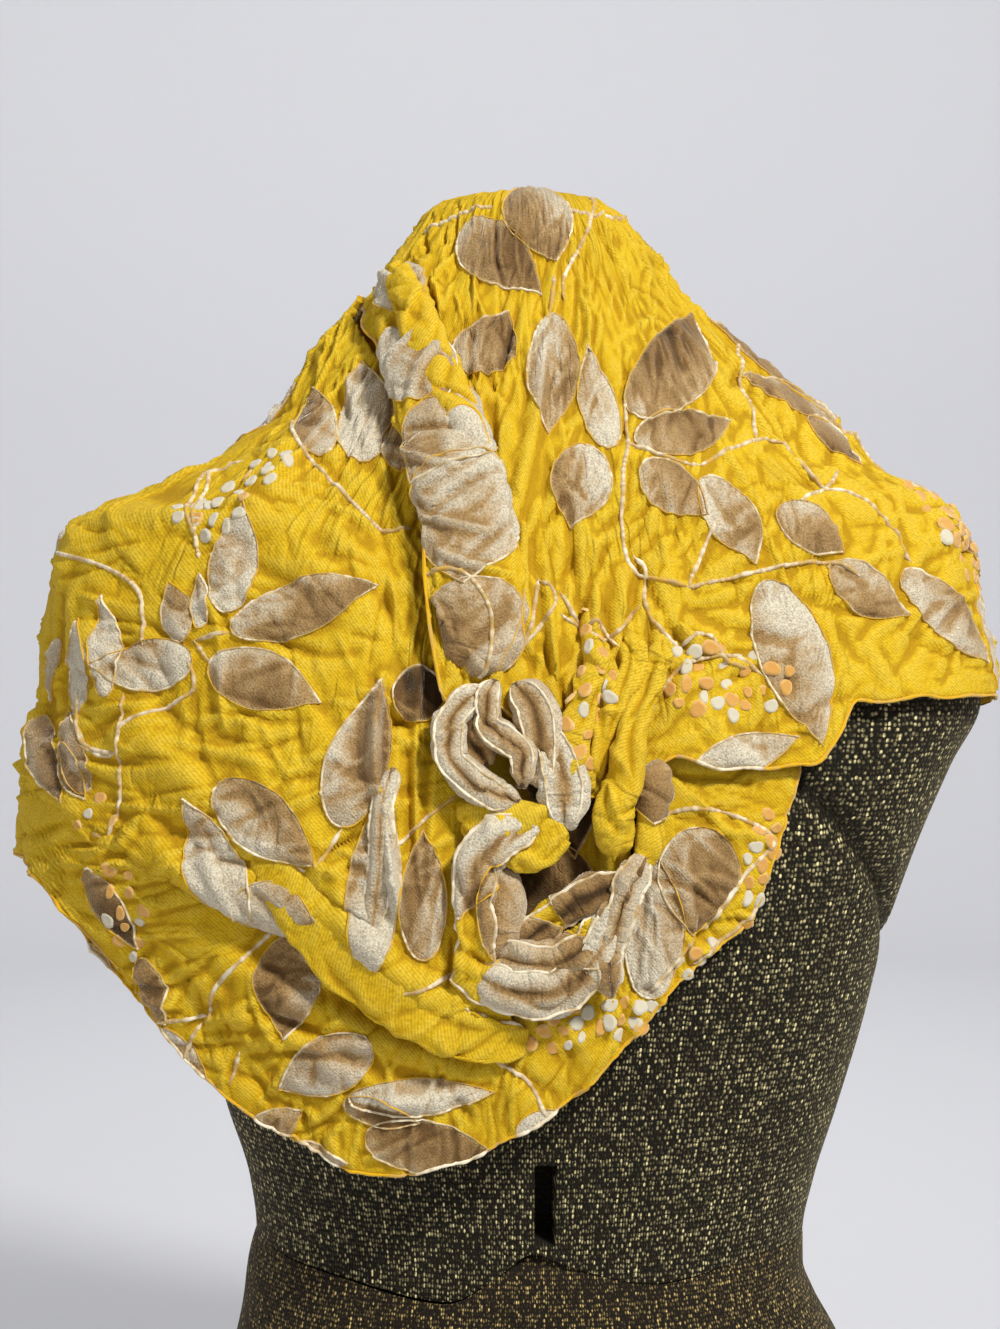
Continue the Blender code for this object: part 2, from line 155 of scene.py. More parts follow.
TORSO = (
    # at, z, left, right, front, back, squareness
    (736, 735.4, 1, 1, 1, 1, 2.0),
    (735.4, 735.4, 22, 15, 18, 18, 2.0),
    (731.6, 731.6, 37, 27, 31, 31, 2.0),
    (724, 724, 44, 35, 38, 38, 2.0),
    (712, 712, 46, 40, 42, 42, 2.0),
    (690, 690, 50, 46, 44, 44, 2.0),
    (662, 662, 60, 58, 47, 46, 2.0),
    (643, 643, 80, 80, 52, 50, 2.0),
    (627, 627, 108, 110, 58, 56, 2.0),
    (612, 612, 138, 142, 66, 62, 2.05),
    (598, 598, 166, 170, 74, 68, 2.1),
    (582, 582, 186, 190, 84, 74, 2.2),
    (560, 560, 196, 203, 96, 80, 2.3),
    (535, 535, 202, 210, 106, 86, 2.4),
    (500, 500, 204, 213, 116, 91, 2.4),
    (470, 470, 190, 199, 122, 94, 2.3),
    (430, 430, 176, 182, 125, 96, 2.2),
    (390, 390, 166, 168, 121, 96, 2.2),
    (350, 350, 155, 158, 113, 94, 2.2),
    (310, 310, 144, 146, 105, 92, 2.2),
    (275, 275, 133, 135, 98, 89, 2.2),
    (250, 250, 130, 130, 95, 87, 2.2),
    (225, 225, 130, 130, 95, 88, 2.2),
)
FORM_SEAM = (
    # turn, height of the lower edge of this cover
    (-10, 252),
    (30, 253),
    (58, 247),
    (80, 256),
    (90, 262),
    (98, 253),
    (112, 240),
    (140, 247),
    (180, 252),
    (270, 256),
    (350, 252),
)
SLOT_LEFT, SLOT_RIGHT = 1.0, 10.0
SLOT_BOTTOM, SLOT_TOP = 266.0, 302.0
SLOT_DEPTH = 16.0
# Under the arm the seam is at ARM_SEAM_LOW; it rises by so many mm a degree and ends at a turn.
ARM_SEAM_LOW, ARM_SEAM_RISE, ARM_SEAM_ROUND, ARM_SEAM_END = 380, 2.45, 8, 62
ARM_SEAM_DEPTH, ARM_SEAM_WIDTH = 6, 4.5
KNIT_WALE = 1.9          # mm between the stitches of a row
KNIT_COURSE = 2.3        # mm between the rows of the knit
KNIT_RIB = 6.0           # mm between its ribs
YARN_TWIST = 2.38        # mm between the thick places of the yarn
ONE_BAND = 0.314         # the scale at which the wave texture has one band to a unit


def smooth_columns(rows, at):
    """The later columns of a table at places along its first, by cubics that never overshoot."""
    table = np.array(sorted(rows), float)
    key, values = table[:, 0], table[:, 1:]
    step = np.diff(key)[:, None]
    slope = np.diff(values, axis=0) / step
    before, after = slope[:-1], slope[1:]
    w_before, w_after = 2 * step[1:] + step[:-1], step[1:] + 2 * step[:-1]
    agree = before * after > 0
    safe_before, safe_after = np.where(agree, before, 1), np.where(agree, after, 1)
    harmonic = (w_before + w_after) / (w_before / safe_before + w_after / safe_after)
    tangent = np.vstack([slope[:1], np.where(agree, harmonic, 0), slope[-1:]])
    at = np.clip(np.asarray(at, float), key[0], key[-1])
    i = np.clip(np.searchsorted(key, at, side="right") - 1, 0, len(key) - 2)
    length = step[i]
    t = ((at - key[i]) / length[..., 0])[..., None]
    return (
        values[i] * (1 + 2 * t) * (1 - t) ** 2
        + tangent[i] * length * t * (1 - t) ** 2
        + values[i + 1] * t * t * (3 - 2 * t)
        + tangent[i + 1] * length * t * t * (t - 1)
    )


def on_sections(sections, turn, at):
    """The point at a turn and height on a body given by horizontal sections."""
    turn, at = np.broadcast_arrays(np.asarray(turn, float), np.asarray(at, float))
    z, left, right, front, back, squareness = np.moveaxis(smooth_columns(sections, at), -1, 0)
    across, ahead = np.cos(np.radians(turn)), np.sin(np.radians(turn))
    side = np.maximum(np.where(across >= 0, right, left), 1e-6)
    depth = np.maximum(np.where(ahead >= 0, front, back), 1e-6)
    reach = (np.abs(across / side) ** squareness + np.abs(ahead / depth) ** squareness) ** (
        -1 / squareness
    )
    return np.stack([reach * across, -reach * ahead, z], -1)


def seam_height(turn):
    """Height of the seam between the two covers of the form."""
    turned = (np.asarray(turn, float) + 10) % 360 - 10
    return smooth_columns(FORM_SEAM, turned)[..., 0]


def grid_normals(points, closed):
    """Unit normals of a grid of points, away from the middle of the form."""
    along = np.roll(points, -1, 0) - np.roll(points, 1, 0) if closed else np.gradient(points, axis=0)
    normal = np.cross(along, np.gradient(points, axis=1))
    normal /= np.maximum(np.linalg.norm(normal, axis=-1, keepdims=True), 1e-9)
    outward = points * (1, 1, 0) + (0, 0, 30)
    return normal if (normal * outward).sum() > 0 else -normal


def grid_object(name, points, closed, fields, chart, material):
    """A mesh of quads from a grid of points in mm, with point fields and a flat chart in mm."""
    rows, columns = points.shape[:2]
    last = rows if closed else rows - 1
    i, j = np.meshgrid(np.arange(last), np.arange(columns - 1), indexing="ij")
    after = (i + 1) % rows
    corners = [i * columns + j, after * columns + j, after * columns + j + 1, i * columns + j + 1]
    faces = np.stack(corners, -1).reshape(-1, 4)
    towards = np.cross(points[1, 1] - points[0, 1], points[0, 2] - points[0, 1])
    if towards @ grid_normals(points, closed)[0, 1] < 0:
        faces = faces[:, ::-1]
    mesh = bpy.data.meshes.new(name)
    mesh.from_pydata((points.reshape(-1, 3) * MM).tolist(), [], faces.tolist())
    for field, values in fields.items():
        attribute = mesh.attributes.new(field, "FLOAT", "POINT")
        attribute.data.foreach_set("value", values.astype(np.float32).ravel())
    flat = mesh.uv_layers.new(name="flat")
    corner = np.array([loop.vertex_index for loop in mesh.loops])
    places = np.stack([chart[0].ravel(), chart[1].ravel()], -1)[corner] * MM
    flat.data.foreach_set("uv", places.astype(np.float32).ravel())
    mesh.shade_smooth()
    mesh.materials.append(material)
    made = bpy.data.objects.new(name, mesh)
    bpy.context.collection.objects.link(made)
    return made


def combined(tree, operation, value, terms):
    """A value that others are added to or multiplied into, each first moved to another range."""
    for term, low, high, least, most in terms:
        moved = add(tree, "MapRange", {}, {"Value": term, 1: low, 2: high, 3: least, 4: most})
        value = add(tree, "Math", {"operation": operation}, {0: value, 1: moved})
    return value


def layered(tree, base, layers):
    """A colour with others laid over it, each up to its share as a value goes from low to high."""
    for value, low, high, share, shade in layers:
        amount = add(tree, "MapRange", {}, {"Value": value, 1: low, 2: high, 4: share})
        base = add(tree, "Mix", {"data_type": "RGBA"}, {0: amount, 6: base, 7: colour(shade)})
    return base


def metallic_knit(name, ground, fleck, course, wale):
    """Rib knit with a metallic yarn: dark matt stitches, and bright flecks where the yarn surfaces."""
    material, tree, out = new_material(name)
    flat = add(tree, "UVMap", {"uv_map": "flat"}, {})
    twist = add(tree, "TexNoise", {}, {"Vector": flat, "Scale": 1 / (YARN_TWIST * MM), "Detail": 2})
    stitch_scale = (1 / (wale * MM), 1 / (course * MM), 1)
    stitches = add(tree, "Mapping", {}, {"Vector": flat, "Scale": stitch_scale})
    stitch = add(tree, "TexVoronoi", {}, {"Vector": stitches, "Scale": 1, "Randomness": 0.45})
    chance = add(tree, "SeparateColor", {}, {"Color": stitch.outputs["Color"]})
    ribs = add(tree, "Mapping", {}, {"Vector": flat, "Scale": (1 / (KNIT_RIB * MM), 9, 1)})
    waves = {"Vector": ribs, "Scale": ONE_BAND, "Distortion": 1.2, "Detail": 1}
    rib = add(tree, "TexWave", {}, waves).outputs["Fac"]
    seam = add(tree, "Attribute", {"attribute_name": "seam_distance"}, {}).outputs["Fac"]
    spot = add(tree, "MapRange", {}, {"Value": stitch, 1: 0.5, 2: 0.26})
    shows = combined(
        tree,
        "MULTIPLY",
        spot,
        (
            # value, from, to, what that is worth at either end
            (chance, 0.25, 0.95, 0.03, 1.2),     # some stitches hold more of the metallic yarn
            (rib, 0.45, 0.9, 0.5, 1.15),         # most of it comes up in one line on each rib
            (twist, 0.4, 0.56, 0.25, 1.0),       # it is broken where the yarn is thin
            (seam, 2.2, 4.2, 0.0, 1.0),          # none shows by a seam (these are mm) or in the slot
        ),
    )
    relief = add(tree, "Math", {"operation": "ADD"}, {0: spot, 1: twist})
    bump = add(tree, "Bump", {}, {"Height": relief, "Distance": 0.8 * MM, "Strength": 0.8})
    yarn = {
        "Base Color": layered(tree, colour(ground), ((shows, 0.0, 1.0, 1.0, fleck),)),
        "Roughness": 0.75,
        "Specular IOR Level": 0.15,
        "Sheen Weight": 0.14,
        "Sheen Roughness": 0.4,
        "Sheen Tint": colour("#d8c489"),
        "Normal": bump,
    }
    tree.links.new(add(tree, "BsdfPrincipled", {}, yarn).outputs[0], out.inputs[0])
    return material


def arm_seam(turn, height):
    """Distance in mm from the seam of the nearer arm end, which rises to front and back."""
    side = np.minimum(np.abs((turn + 180) % 360 - 180), np.abs(turn % 360 - 180))
    line = ARM_SEAM_LOW + ARM_SEAM_RISE * (np.hypot(side, ARM_SEAM_ROUND) - ARM_SEAM_ROUND)
    return np.hypot(0.75 * (height - line), 3 * np.maximum(side - ARM_SEAM_END, 0))


def form_cover(name, sections, turns, heights, material):
    """A cover of the form through its sections, with its knit chart, arm seams and slot."""
    points = on_sections(sections, turns, heights)
    away = arm_seam(turns, heights)
    in_slot = (turns > slot_turns[0]) & (turns < slot_turns[1])
    in_slot = in_slot & (heights > SLOT_BOTTOM) & (heights < SLOT_TOP)
    sunk = ARM_SEAM_DEPTH * np.exp(-((away / ARM_SEAM_WIDTH) ** 2)) + SLOT_DEPTH * in_slot
    ring = np.linalg.norm(np.roll(points, -1, 0) - points, axis=-1).mean(axis=0) * len(points)
    points = points - grid_normals(points, True) * sunk[..., None]
    fields = {"seam_distance": np.where(in_slot, 0, away)}
    return grid_object(name, points, True, fields, (turns / 360 * ring.max(), heights), material)


def with_edges(even, edges, gap):
    """Even steps, with a close pair of steps at each sharp edge so that its wall is upright."""
    kept = [step for step in even if all(abs(step - edge) > 3 * gap for edge in edges)]
    return np.array(sorted([*kept, *(edge + side for edge in edges for side in (-gap, gap))]))


front_turns = np.linspace(95, 75, 401)
front_x = on_sections(TORSO, front_turns, (SLOT_BOTTOM + SLOT_TOP) / 2)[:, 0]
slot_turns = np.interp((SLOT_RIGHT, SLOT_LEFT), front_x, front_turns)
torso_turns = with_edges(np.linspace(0, 360, 181)[:-1], slot_turns, 0.12)[:, None]
torso_heights = with_edges(np.linspace(TORSO[-1][0], TORSO[1][0], 130), (SLOT_BOTTOM, SLOT_TOP), 0.2)
torso_heights = np.append(torso_heights, TORSO[0][0])[None, :]
torso_low = seam_height(torso_turns) + 0.15
row_share = np.clip((torso_heights - TORSO[-1][0]) / (SLOT_BOTTOM - 4 - TORSO[-1][0]), 0, 1)
torso = form_cover(
    "form_upper_cover",
    TORSO,
    torso_turns + 0 * torso_heights,
    torso_heights + (torso_low - TORSO[-1][0]) * (1 - row_share),
    metallic_knit("black_metallic_rib_knit", "#17130a", "#f7e7a8", KNIT_COURSE, KNIT_WALE),
)
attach(torso, "root")
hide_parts("form_torso")


# ---- Hip cover of the form ----
# The same padding goes on below the waist under a brown knit, which is pulled up under the
# lobed lower edge of the upper cover. The form ends in a flat underside that it stands on.

HIPS = (
    # at, z, left, right, front, back, squareness
    (262, 262, 124, 126, 90, 82, 2.2),
    (250, 250, 130, 130, 95, 87, 2.2),
    (235, 235, 134, 130, 98, 92, 2.2),
    (218, 218, 136, 136, 102, 100, 2.2),
    (198, 198, 140, 147, 107, 110, 2.2),
    (165, 165, 150, 160, 112, 120, 2.2),
    (120, 120, 162, 170, 114, 127, 2.2),
    (70, 70, 168, 172, 112, 126, 2.2),
    (20, 20, 164, 166, 108, 121, 2.2),
    (0, 0, 160, 162, 105, 118, 2.2),
    (-1, 0, 1, 1, 1, 1, 2.2),
)
hip_turns = np.linspace(0, 360, 145)[:-1][:, None]
hip_share = np.linspace(0, 1, 64)[None, :]
hip_high = seam_height(hip_turns) - 0.15
hip_heights = np.concatenate([-1 + 0 * hip_turns, hip_high * hip_share], axis=1)
hips = form_cover(
    "form_hip_cover",
    HIPS,
    hip_turns + 0 * hip_heights,
    hip_heights,
    metallic_knit("brown_metallic_knit", "#1c150d", "#e0c27a", 1.9, 1.5),
)
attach(hips, "root")
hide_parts("form_hips")


# ---- Neck and right shoulder of the scarf ----
# Devore velvet: a crinkled golden crepe with the silk pile left standing in leaves, stems and
# berries. This stretch goes over the top of the neck, round it, and down to the right arm end,
# its hem free; at the throat it is pulled in pleats into the gather.

MM_PER_DEGREE = 2.7      # of arc on the drape, which turns degrees into millimetres
CREPE_WALL = 0.8         # mm, so that the hems have a real thickness
PILE_HEIGHT = 0.9        # mm that the velvet stands over the crepe
LEAF_CROWN = 0.9         # mm that the middle of a leaf stands over its rim
OUTLINE_HEIGHT = 0.85    # mm that the pile stands up round a leaf
STEM_WIDTH, STEM_HEIGHT, STEM_LIGHT = 2.0, 1.1, 0.62
RIDGE_WIDTH, RIDGE_LIGHT = 1.0, 0.85     # of the pile edges that run along a roll
HEM_WIDTH, HEM_HEIGHT = 1.5, 0.9
HEM_EDGES = {"top": (slice(None), 0), "foot": (slice(None), -1), "start": (0,), "end": (-1,)}
BERRY_RADII, BERRY_GAP = (2.3, 3.9), 5.9     # smallest and largest, and mm between two
USUAL_LOOK = {
    "unit": 1,                       # mm to one step of the chart's x
    "scale": lambda x, y: (1, 1),    # true mm to a step of x and of y at a place
    "crumpled": 1.0,                 # how strong the crinkles are on the whole stretch
    "calm": 1.0,                     # and what is left of them in each place
    "pull": (90, 470),               # where the short creases point to: the gather
    "shade": 0,                      # painted light and shade: how much lighter (above 0) or darker the pile is painted in each place
    "closed": False,                 # whether the stretch goes all the way round
}
DRAPE = (
    # at, z, left, right, front, back, squareness of the outermost cloth
    (762, 738, 0, 0, 0, 0, 2.0),
    (756, 738, 20, 15, 18, 18, 2.0),
    (748, 736, 40, 30, 35, 34, 2.0),
    (738, 731, 51, 41, 45, 44, 2.0),
    (725, 722, 58, 50, 52, 49, 2.0),
    (710, 708, 70, 62, 58, 53, 2.0),
    (690, 690, 84, 75, 66, 60, 2.0),
    (670, 670, 98, 97, 74, 66, 2.0),
    (650, 650, 112, 122, 83, 73, 2.0),
    (632, 632, 124, 144, 91, 80, 2.0),
    (618, 618, 143, 157, 98, 86, 2.05),
    (607, 607, 161, 168, 103, 90, 2.1),
    (596, 596, 182, 191, 108, 93, 2.15),
    (583, 583, 217, 206, 112, 96, 2.2),
    (565, 565, 227, 212, 118, 98, 2.2),
    (540, 540, 229, 215, 126, 101, 2.2),
    (505, 505, 230, 221, 134, 104, 2.2),
    (470, 470, 240, 220, 140, 106, 2.2),
    (430, 430, 244, 212, 142, 108, 2.2),
    (390, 390, 232, 200, 140, 109, 2.2),
    (350, 350, 214, 186, 136, 110, 2.2),
    (310, 310, 192, 172, 131, 110, 2.2),
    (270, 270, 172, 160, 127, 108, 2.2),
    (230, 230, 160, 150, 125, 106, 2.2),
)
SHOULDER_EDGE = (
    # turn, height of the lower edge, its lift off the drape
    (-78, 640, -3),
    (-70, 560, -4),
    (-62, 500, -4),
    (-45, 478, -3),
    (-20, 490, -1),
    (0, 499, 0),
    (17, 503, 0),
    (30, 502, -2),
    (38, 502, -3),
    (41, 490, -4),
    (46, 474, -6),
    (56, 474, -7),
    (66, 478, -6),
    (72, 470, -4),
    (80, 462, -4),
    (86, 470, -3),
    (92, 490, 0),
    (97, 500, 3),
    (105, 501, 5),
    (108, 526, 5),
    (111, 559, 5),
    (113, 592, 5),
    (118, 612, 4),
    (126, 634, 2),
    (140, 660, 0),
    (150, 672, -1),
    (160, 684, -4),
    (180, 690, -6),
    (220, 690, -5),
    (255, 678, -4),
    (282, 640, -3),
)
SHOULDER_FOLDS = (
    # from turn, height, to turn, height, sideways bow, half width, rise
    (94, 678, 100, 631, 2, 6, -3.5),
    (100, 631, 100, 596, 0, 6, -4),
    (86, 667, 97, 560, -3, 9, 4),
    (84, 600, 88, 560, 2, 8, 2.5),
    (74, 570, 81, 535, 2, 4, -4.5),
    (81, 565, 85, 551, 0, 4, -3),
    (90, 526, 90, 512, 0, 4, -2.5),
    (80, 527, 83, 498, 1, 5, -4),
    (69, 561, 74, 527, -1, 5, -3.5),
    (67, 544, 71, 506, 1, 5, -3.5),
    (72, 560, 76, 500, 1, 6, 4),
    (61, 550, 45, 583, 4, 7, 2),
    (60, 539, 41, 561, 3, 8, -2),
    (69, 490, 61, 527, 1, 6, 3),
    (85, 543, 86, 502, 1, 5, 3),
    (77, 548, 84, 506, -1, 5, 3.5),
    (87, 560, 85, 502, 2, 4, 4.5),
    (82, 586, 80, 527, 2, 5, -4),
    (77, 567, 78, 516, 2, 4, 4.5),
    (73, 547, 69, 500, 2, 4, 4),
    (69, 560, 61, 516, 2, 5, -4),
    (92, 577, 90, 522, 2, 5, 4),
    (68, 543, 54, 518, 2, 5, 3.5),
    (88, 527, 81, 487, 2, 4, -4.5),
    (80, 539, 74, 502, 2, 3.5, 4),
    (97, 599, 94, 543, 2, 5, -3.5),
    (104, 631, 100, 577, 2, 5, 3.5),
    (62, 543, 46, 527, 2, 6, -3),
    (90, 506, 83, 477, 2, 4, 3.5),
    (83, 613, 77, 560, 2, 8, 2),
    (68, 694, 63, 623, 3, 12, 2),
    (40, 729, 24, 676, 3, 12, -1.5),
    (44, 682, 35, 625, -4, 12, 2),
    (30, 670, 29, 603, 3, 14, -2),
    (40, 620, 33, 562, 3, 10, 2),
    (26, 622, 18, 564, -3, 12, -2),
    (38, 544, 37, 519, 2, 5, -2.5),
    (35, 527, 32, 506, 1, 6, 2),
    (62, 502, 46, 460, 4, 10, 2),
    (64, 481, 48, 468, 2, 7, -2),
    (63, 595, 59, 548, 2, 7, -2),
    (129, 718, 122, 675, 2, 8, 2),
    (109, 679, 108, 641, 1, 6, -2),
    (131, 696, 107, 632, 3, 10, -2.5),
    (40, 720, 35, 688, 2, 7, 1.5),
    (11, 602, 18, 546, 3, 12, 2.5),
    (-6, 640, 2, 520, 4, 14, -2.5),
    (-20, 640, -12, 510, 5, 13, 3),
    (-34, 660, -30, 500, -5, 16, -3),
    (-48, 640, -42, 500, 4, 12, 3.5),
    (-62, 640, -58, 520, -3, 12, -2.5),
    (-30, 700, -44, 620, 3, 10, 2),
    (-60, 710, -70, 650, 3, 9, -2),
)
SHOULDER_LEAVES = (
    # base turn, height, tip turn, height, width, brushing of the pile, painted as silver sheen (below 0, as
    # dark shade)
    (92, 750, 80, 697, 32, 0.15),
    (121, 719, 86, 682, 28, 0.05),
    (109, 644, 98, 673, 27, 0.05),
    (82, 672, 86, 616, 23, 0.4),
    (72, 610, 73, 656, 17, 0.8),
    (64, 626, 28, 678, 30, 0.05),
    (65, 613, 41, 625, 23, 0.05),
    (65, 603, 55, 581, 26, 0.15),
    (77, 611, 82, 575, 26, 0.5),
    (53, 599, 49, 560, 25, 0.55),
    (43, 584, 35, 566, 24, 0.4),
    (19, 630, 18, 607, 24, 0.1),
    (38, 558, 28, 538, 24, 0.15),
    (48, 553, 44, 483, 33, 0.55),
    (27, 557, 15, 517, 25, 0.4),
    (63, 473, 47, 487, 18, 0.75),
    (12, 553, 12, 505, 17, 0.8),
)
SHOULDER_STEMS = (
    # turn, height of the places that a stem goes through
    ((89, 552), (86, 547), (87, 538), (96, 514)),
    ((85, 538), (81, 533), (78, 534), (75, 524)),
    ((70, 564), (68, 558), (69, 543), (67, 533), (64, 524)),
    ((64, 524), (61, 530), (58, 529), (57, 520), (53, 516)),
    ((146, 719), (128, 726), (110, 730)),
    ((70, 729), (51, 726), (15, 731)),
    ((44, 743), (59, 722), (76, 693), (78, 679)),
    ((65, 633), (67, 613), (70, 596), (71, 561), (61, 550)),
    ((53, 604), (38, 616), (33, 611), (33, 598), (28, 588), (25, 562)),
    ((16, 665), (30, 646), (38, 617)),
    ((61, 550), (49, 557), (38, 562), (34, 555)),
    ((89, 553), (91, 531), (96, 516)),
    ((85, 548), (78, 527), (70, 542)),
    ((81, 690), (84, 669)),
    ((67, 613), (61, 608), (53, 604)),
    ((54, 578), (61, 550)),
    ((68, 506), (63, 518), (55, 521), (51, 513)),
    ((27, 603), (39, 588)),
)
SHOULDER_BERRIES = (
    # turn, height, half spread in degrees, in mm, how many, share of white ones
    (58, 511, 11, 15, 48, 0.35),
    (12, 578, 7, 24, 40, 0.1),
)
SHOULDER_SPRAYS = (
    # turn, height, heading (90 is up), length
    (-8, 530, 80, 110),
    (-30, 500, 100, 130),
    (-55, 520, 75, 120),
    (-20, 690, 250, 60),
    (-62, 700, 200, 70),
    (230, 735, 20, 60),
)


def lifted(turn, at, lift):
    """A place on the drape, moved out of it along its own normal."""
    turn, at, lift = np.broadcast_arrays(turn, at, lift)
    highest = DRAPE[0][0] - 0.5
    at = np.minimum(at, highest)
    along = on_sections(DRAPE, turn + 0.5, at) - on_sections(DRAPE, turn - 0.5, at)
    down = on_sections(DRAPE, turn, np.minimum(at + 1, highest)) - on_sections(DRAPE, turn, at - 1)
    out = np.cross(down, along)
    out /= np.maximum(np.linalg.norm(out, axis=-1, keepdims=True), 1e-9)
    return on_sections(DRAPE, turn, at) + out * lift[..., None]


def drape_scale(turn, at):
    """True millimetres for each degree of turn and for each unit of height on the drape."""
    places = on_sections(DRAPE, [turn - 0.5, turn + 0.5, turn, turn], [at, at, at - 1, min(at + 1, 761)])
    return np.linalg.norm(places[1] - places[0]), np.linalg.norm(places[3] - places[2]) / 2


def grain(x, y, seed):
    """Smooth noise from about -1 to 1, one cell to the unit."""
    angles = np.random.default_rng(seed).uniform(0, 2 * math.pi, 4096)
    x0, y0 = np.floor(x).astype(int), np.floor(y).astype(int)
    fx, fy = x - x0, y - y0
    sx, sy = fx * fx * (3 - 2 * fx), fy * fy * (3 - 2 * fy)

    def corner(i, j):
        angle = angles[((x0 + i) * 7919 ^ (y0 + j) * 104729) & 4095]
        return np.cos(angle) * (fx - i) + np.sin(angle) * (fy - j)

    low = corner(0, 0) * (1 - sx) + corner(1, 0) * sx
    high = corner(0, 1) * (1 - sx) + corner(1, 1) * sx
    return 1.6 * (low * (1 - sy) + high * sy)


def crinkle(x, y, pull, seed):
    """Height in mm of crumpled crepe: soft dents, and short sharp creases that point to a pull."""
    dents = 1.3 * grain(x / 21, y / 30, seed) + 0.8 * grain(x / 12, y / 15, seed + 1)
    total = dents + 0.35 * grain(x / 6, y / 7, seed + 2)
    dice = np.random.default_rng(seed + 3)
    low, high = (x.min(), y.min()), (x.max(), y.max())
    count = int((high[0] - low[0]) * (high[1] - low[1]) / 125)
    for _ in range(count):
        cx, cy = dice.uniform(low, high)
        heading = math.atan2(pull[1] - cy, pull[0] - cx) + dice.normal(0, 0.55)
        half_length, width = dice.uniform(7, 24), dice.uniform(2.0, 4.6)
        rise = dice.choice((-1, 1)) * width * dice.uniform(0.3, 0.8)
        bow, lean = dice.uniform(-0.012, 0.012), dice.uniform(0.45, 1.0)
        near = (np.abs(x - cx) < half_length + width) & (np.abs(y - cy) < half_length + width)
        dx, dy = x[near] - cx, y[near] - cy
        along = (dx * math.cos(heading) + dy * math.sin(heading)) / half_length
        across = dy * math.cos(heading) - dx * math.sin(heading) + bow * (along * half_length) ** 2
        across = np.abs(across) / np.where(across > 0, width, width * lean)
        shape = np.clip(1 - across, 0, 1) ** 1.6 * np.clip(1 - along**2, 0, 1)
        total[near] += rise * shape
    return total


def fold_lift(x, y, folds, unit):
    """What a table of folds adds: soft ridges and troughs, bowed, uneven and steeper on a side."""
    total = np.zeros(np.broadcast(x, y).shape)
    for from_x, from_y, to_x, to_y, bow, half_width, rise in folds:
        run = np.array([(to_x - from_x) * unit, to_y - from_y], float)
        length = np.hypot(*run)
        run /= length
        dx, dy = (x - from_x) * unit, y - from_y
        share = np.clip((dx * run[0] + dy * run[1]) / length, -0.2, 1.2)
        side = dy * run[0] - dx * run[1] - 4 * bow * share * (1 - share)
        past = np.maximum(np.abs(share - 0.5) - 0.5, 0) * length
        width = half_width * np.where(side > 0, 1, 0.62)
        away = np.hypot(side / width, past / half_width)
        ends = np.sin(math.pi * np.clip(share * 0.86 + 0.07, 0, 1)) ** 0.7
        total += rise * ends * np.clip(1 - away**2, 0, None) ** 2
    return total


def leaf_half_width(along):
    """Half the width of a leaf, as a share of its greatest: full near the base, pointed at the tip."""
    along = np.clip(along, 0, 1)
    return np.sin(math.pi * along**0.82) ** (0.55 + 0.5 * along)


def leaf_frame(leaf, scale):
    """Base, true scales, unit direction and length in mm of a leaf of a table."""
    x0, y0, x1, y1 = leaf[:4]
    sx, sy = scale((x0 + x1) / 2, (y0 + y1) / 2)
    run = np.array([(x1 - x0) * sx, (y1 - y0) * sy])
    length = np.hypot(*run)
    return x0, y0, sx, sy, run[0] / length, run[1] / length, length


def pile_map(x, y, leaves, scale):
    """For each place: mm inside the nearest leaf (outside is below 0) and its brushing, with painted light
    and shade across the leaf.
    """
    depth = np.full(x.shape, -30.0)
    brushing_and_painted_light = np.zeros(x.shape)
    for leaf in leaves:
        x0, y0, sx, sy, ux, uy, length = leaf_frame(leaf, scale)
        dx, dy = (x - x0) * sx, (y - y0) * sy
        along = (dx * ux + dy * uy) / length
        across = dy * ux - dx * uy
        inside = np.clip(along, 0, 1)
        half = leaf_half_width(inside) * leaf[4] / 2
        past = np.hypot((along - inside) * length, across)
        here = np.where(inside == along, half - np.abs(across), -past)
        # Painted light and shade: one side of each leaf is painted lighter and the other darker; the base
        # is paler than the tip.
        light_side = math.copysign(0.34, math.sin(7.0 * leaf[0] + 3.0 * leaf[1]))
        shading = light_side * np.clip(2 * across / leaf[4], -1, 1) + 0.5 * (0.45 - along)
        brushing_and_painted_light = np.where(here > depth, leaf[5] + shading, brushing_and_painted_light)
        depth = np.maximum(depth, here)
    return depth, brushing_and_painted_light


def leaf_outline(leaf, scale):
    """The closed outline of a leaf about 1 mm from place to place, and how much it faces the light."""
    x0, y0, sx, sy, ux, uy, length = leaf_frame(leaf, scale)
    steps = int(length / 1.1)
    along = (1 - np.cos(np.linspace(0, math.pi, steps))) / 2
    half = leaf_half_width(along) * leaf[4] / 2
    s = np.concatenate([along, along[-2:0:-1]]) * length
    q = np.concatenate([half, -half[-2:0:-1]])
    toward = 0.5 + 0.5 * np.sign(q) * math.sin(5.0 * leaf[0] + 2.0 * leaf[1])
    toward = np.clip(toward + 0.3 * np.sin(s / 9.0 + leaf[0]), 0, 1)
    return x0 + (ux * s - uy * q) / sx, y0 + (uy * s + ux * q) / sy, toward


def smooth_line(places, unit):
    """A curve through places on the chart, about 1.2 mm from point to point."""
    ends = np.array([places[0], *places, places[-1]], float)
    line = []
    for a, b, c, d in zip(ends, ends[1:], ends[2:], ends[3:]):
        steps = max(2, int(np.hypot((c - b)[0] * unit, (c - b)[1]) / 1.2))
        t = np.arange(steps)[:, None] / steps
        line.append(
            0.5 * (2 * b + (c - a) * t + (2 * a - 5 * b + 4 * c - d) * t**2)
            + 0.5 * (3 * b - a - 3 * c + d) * t**3
        )
    return np.concatenate([*line, ends[-1:]]).T


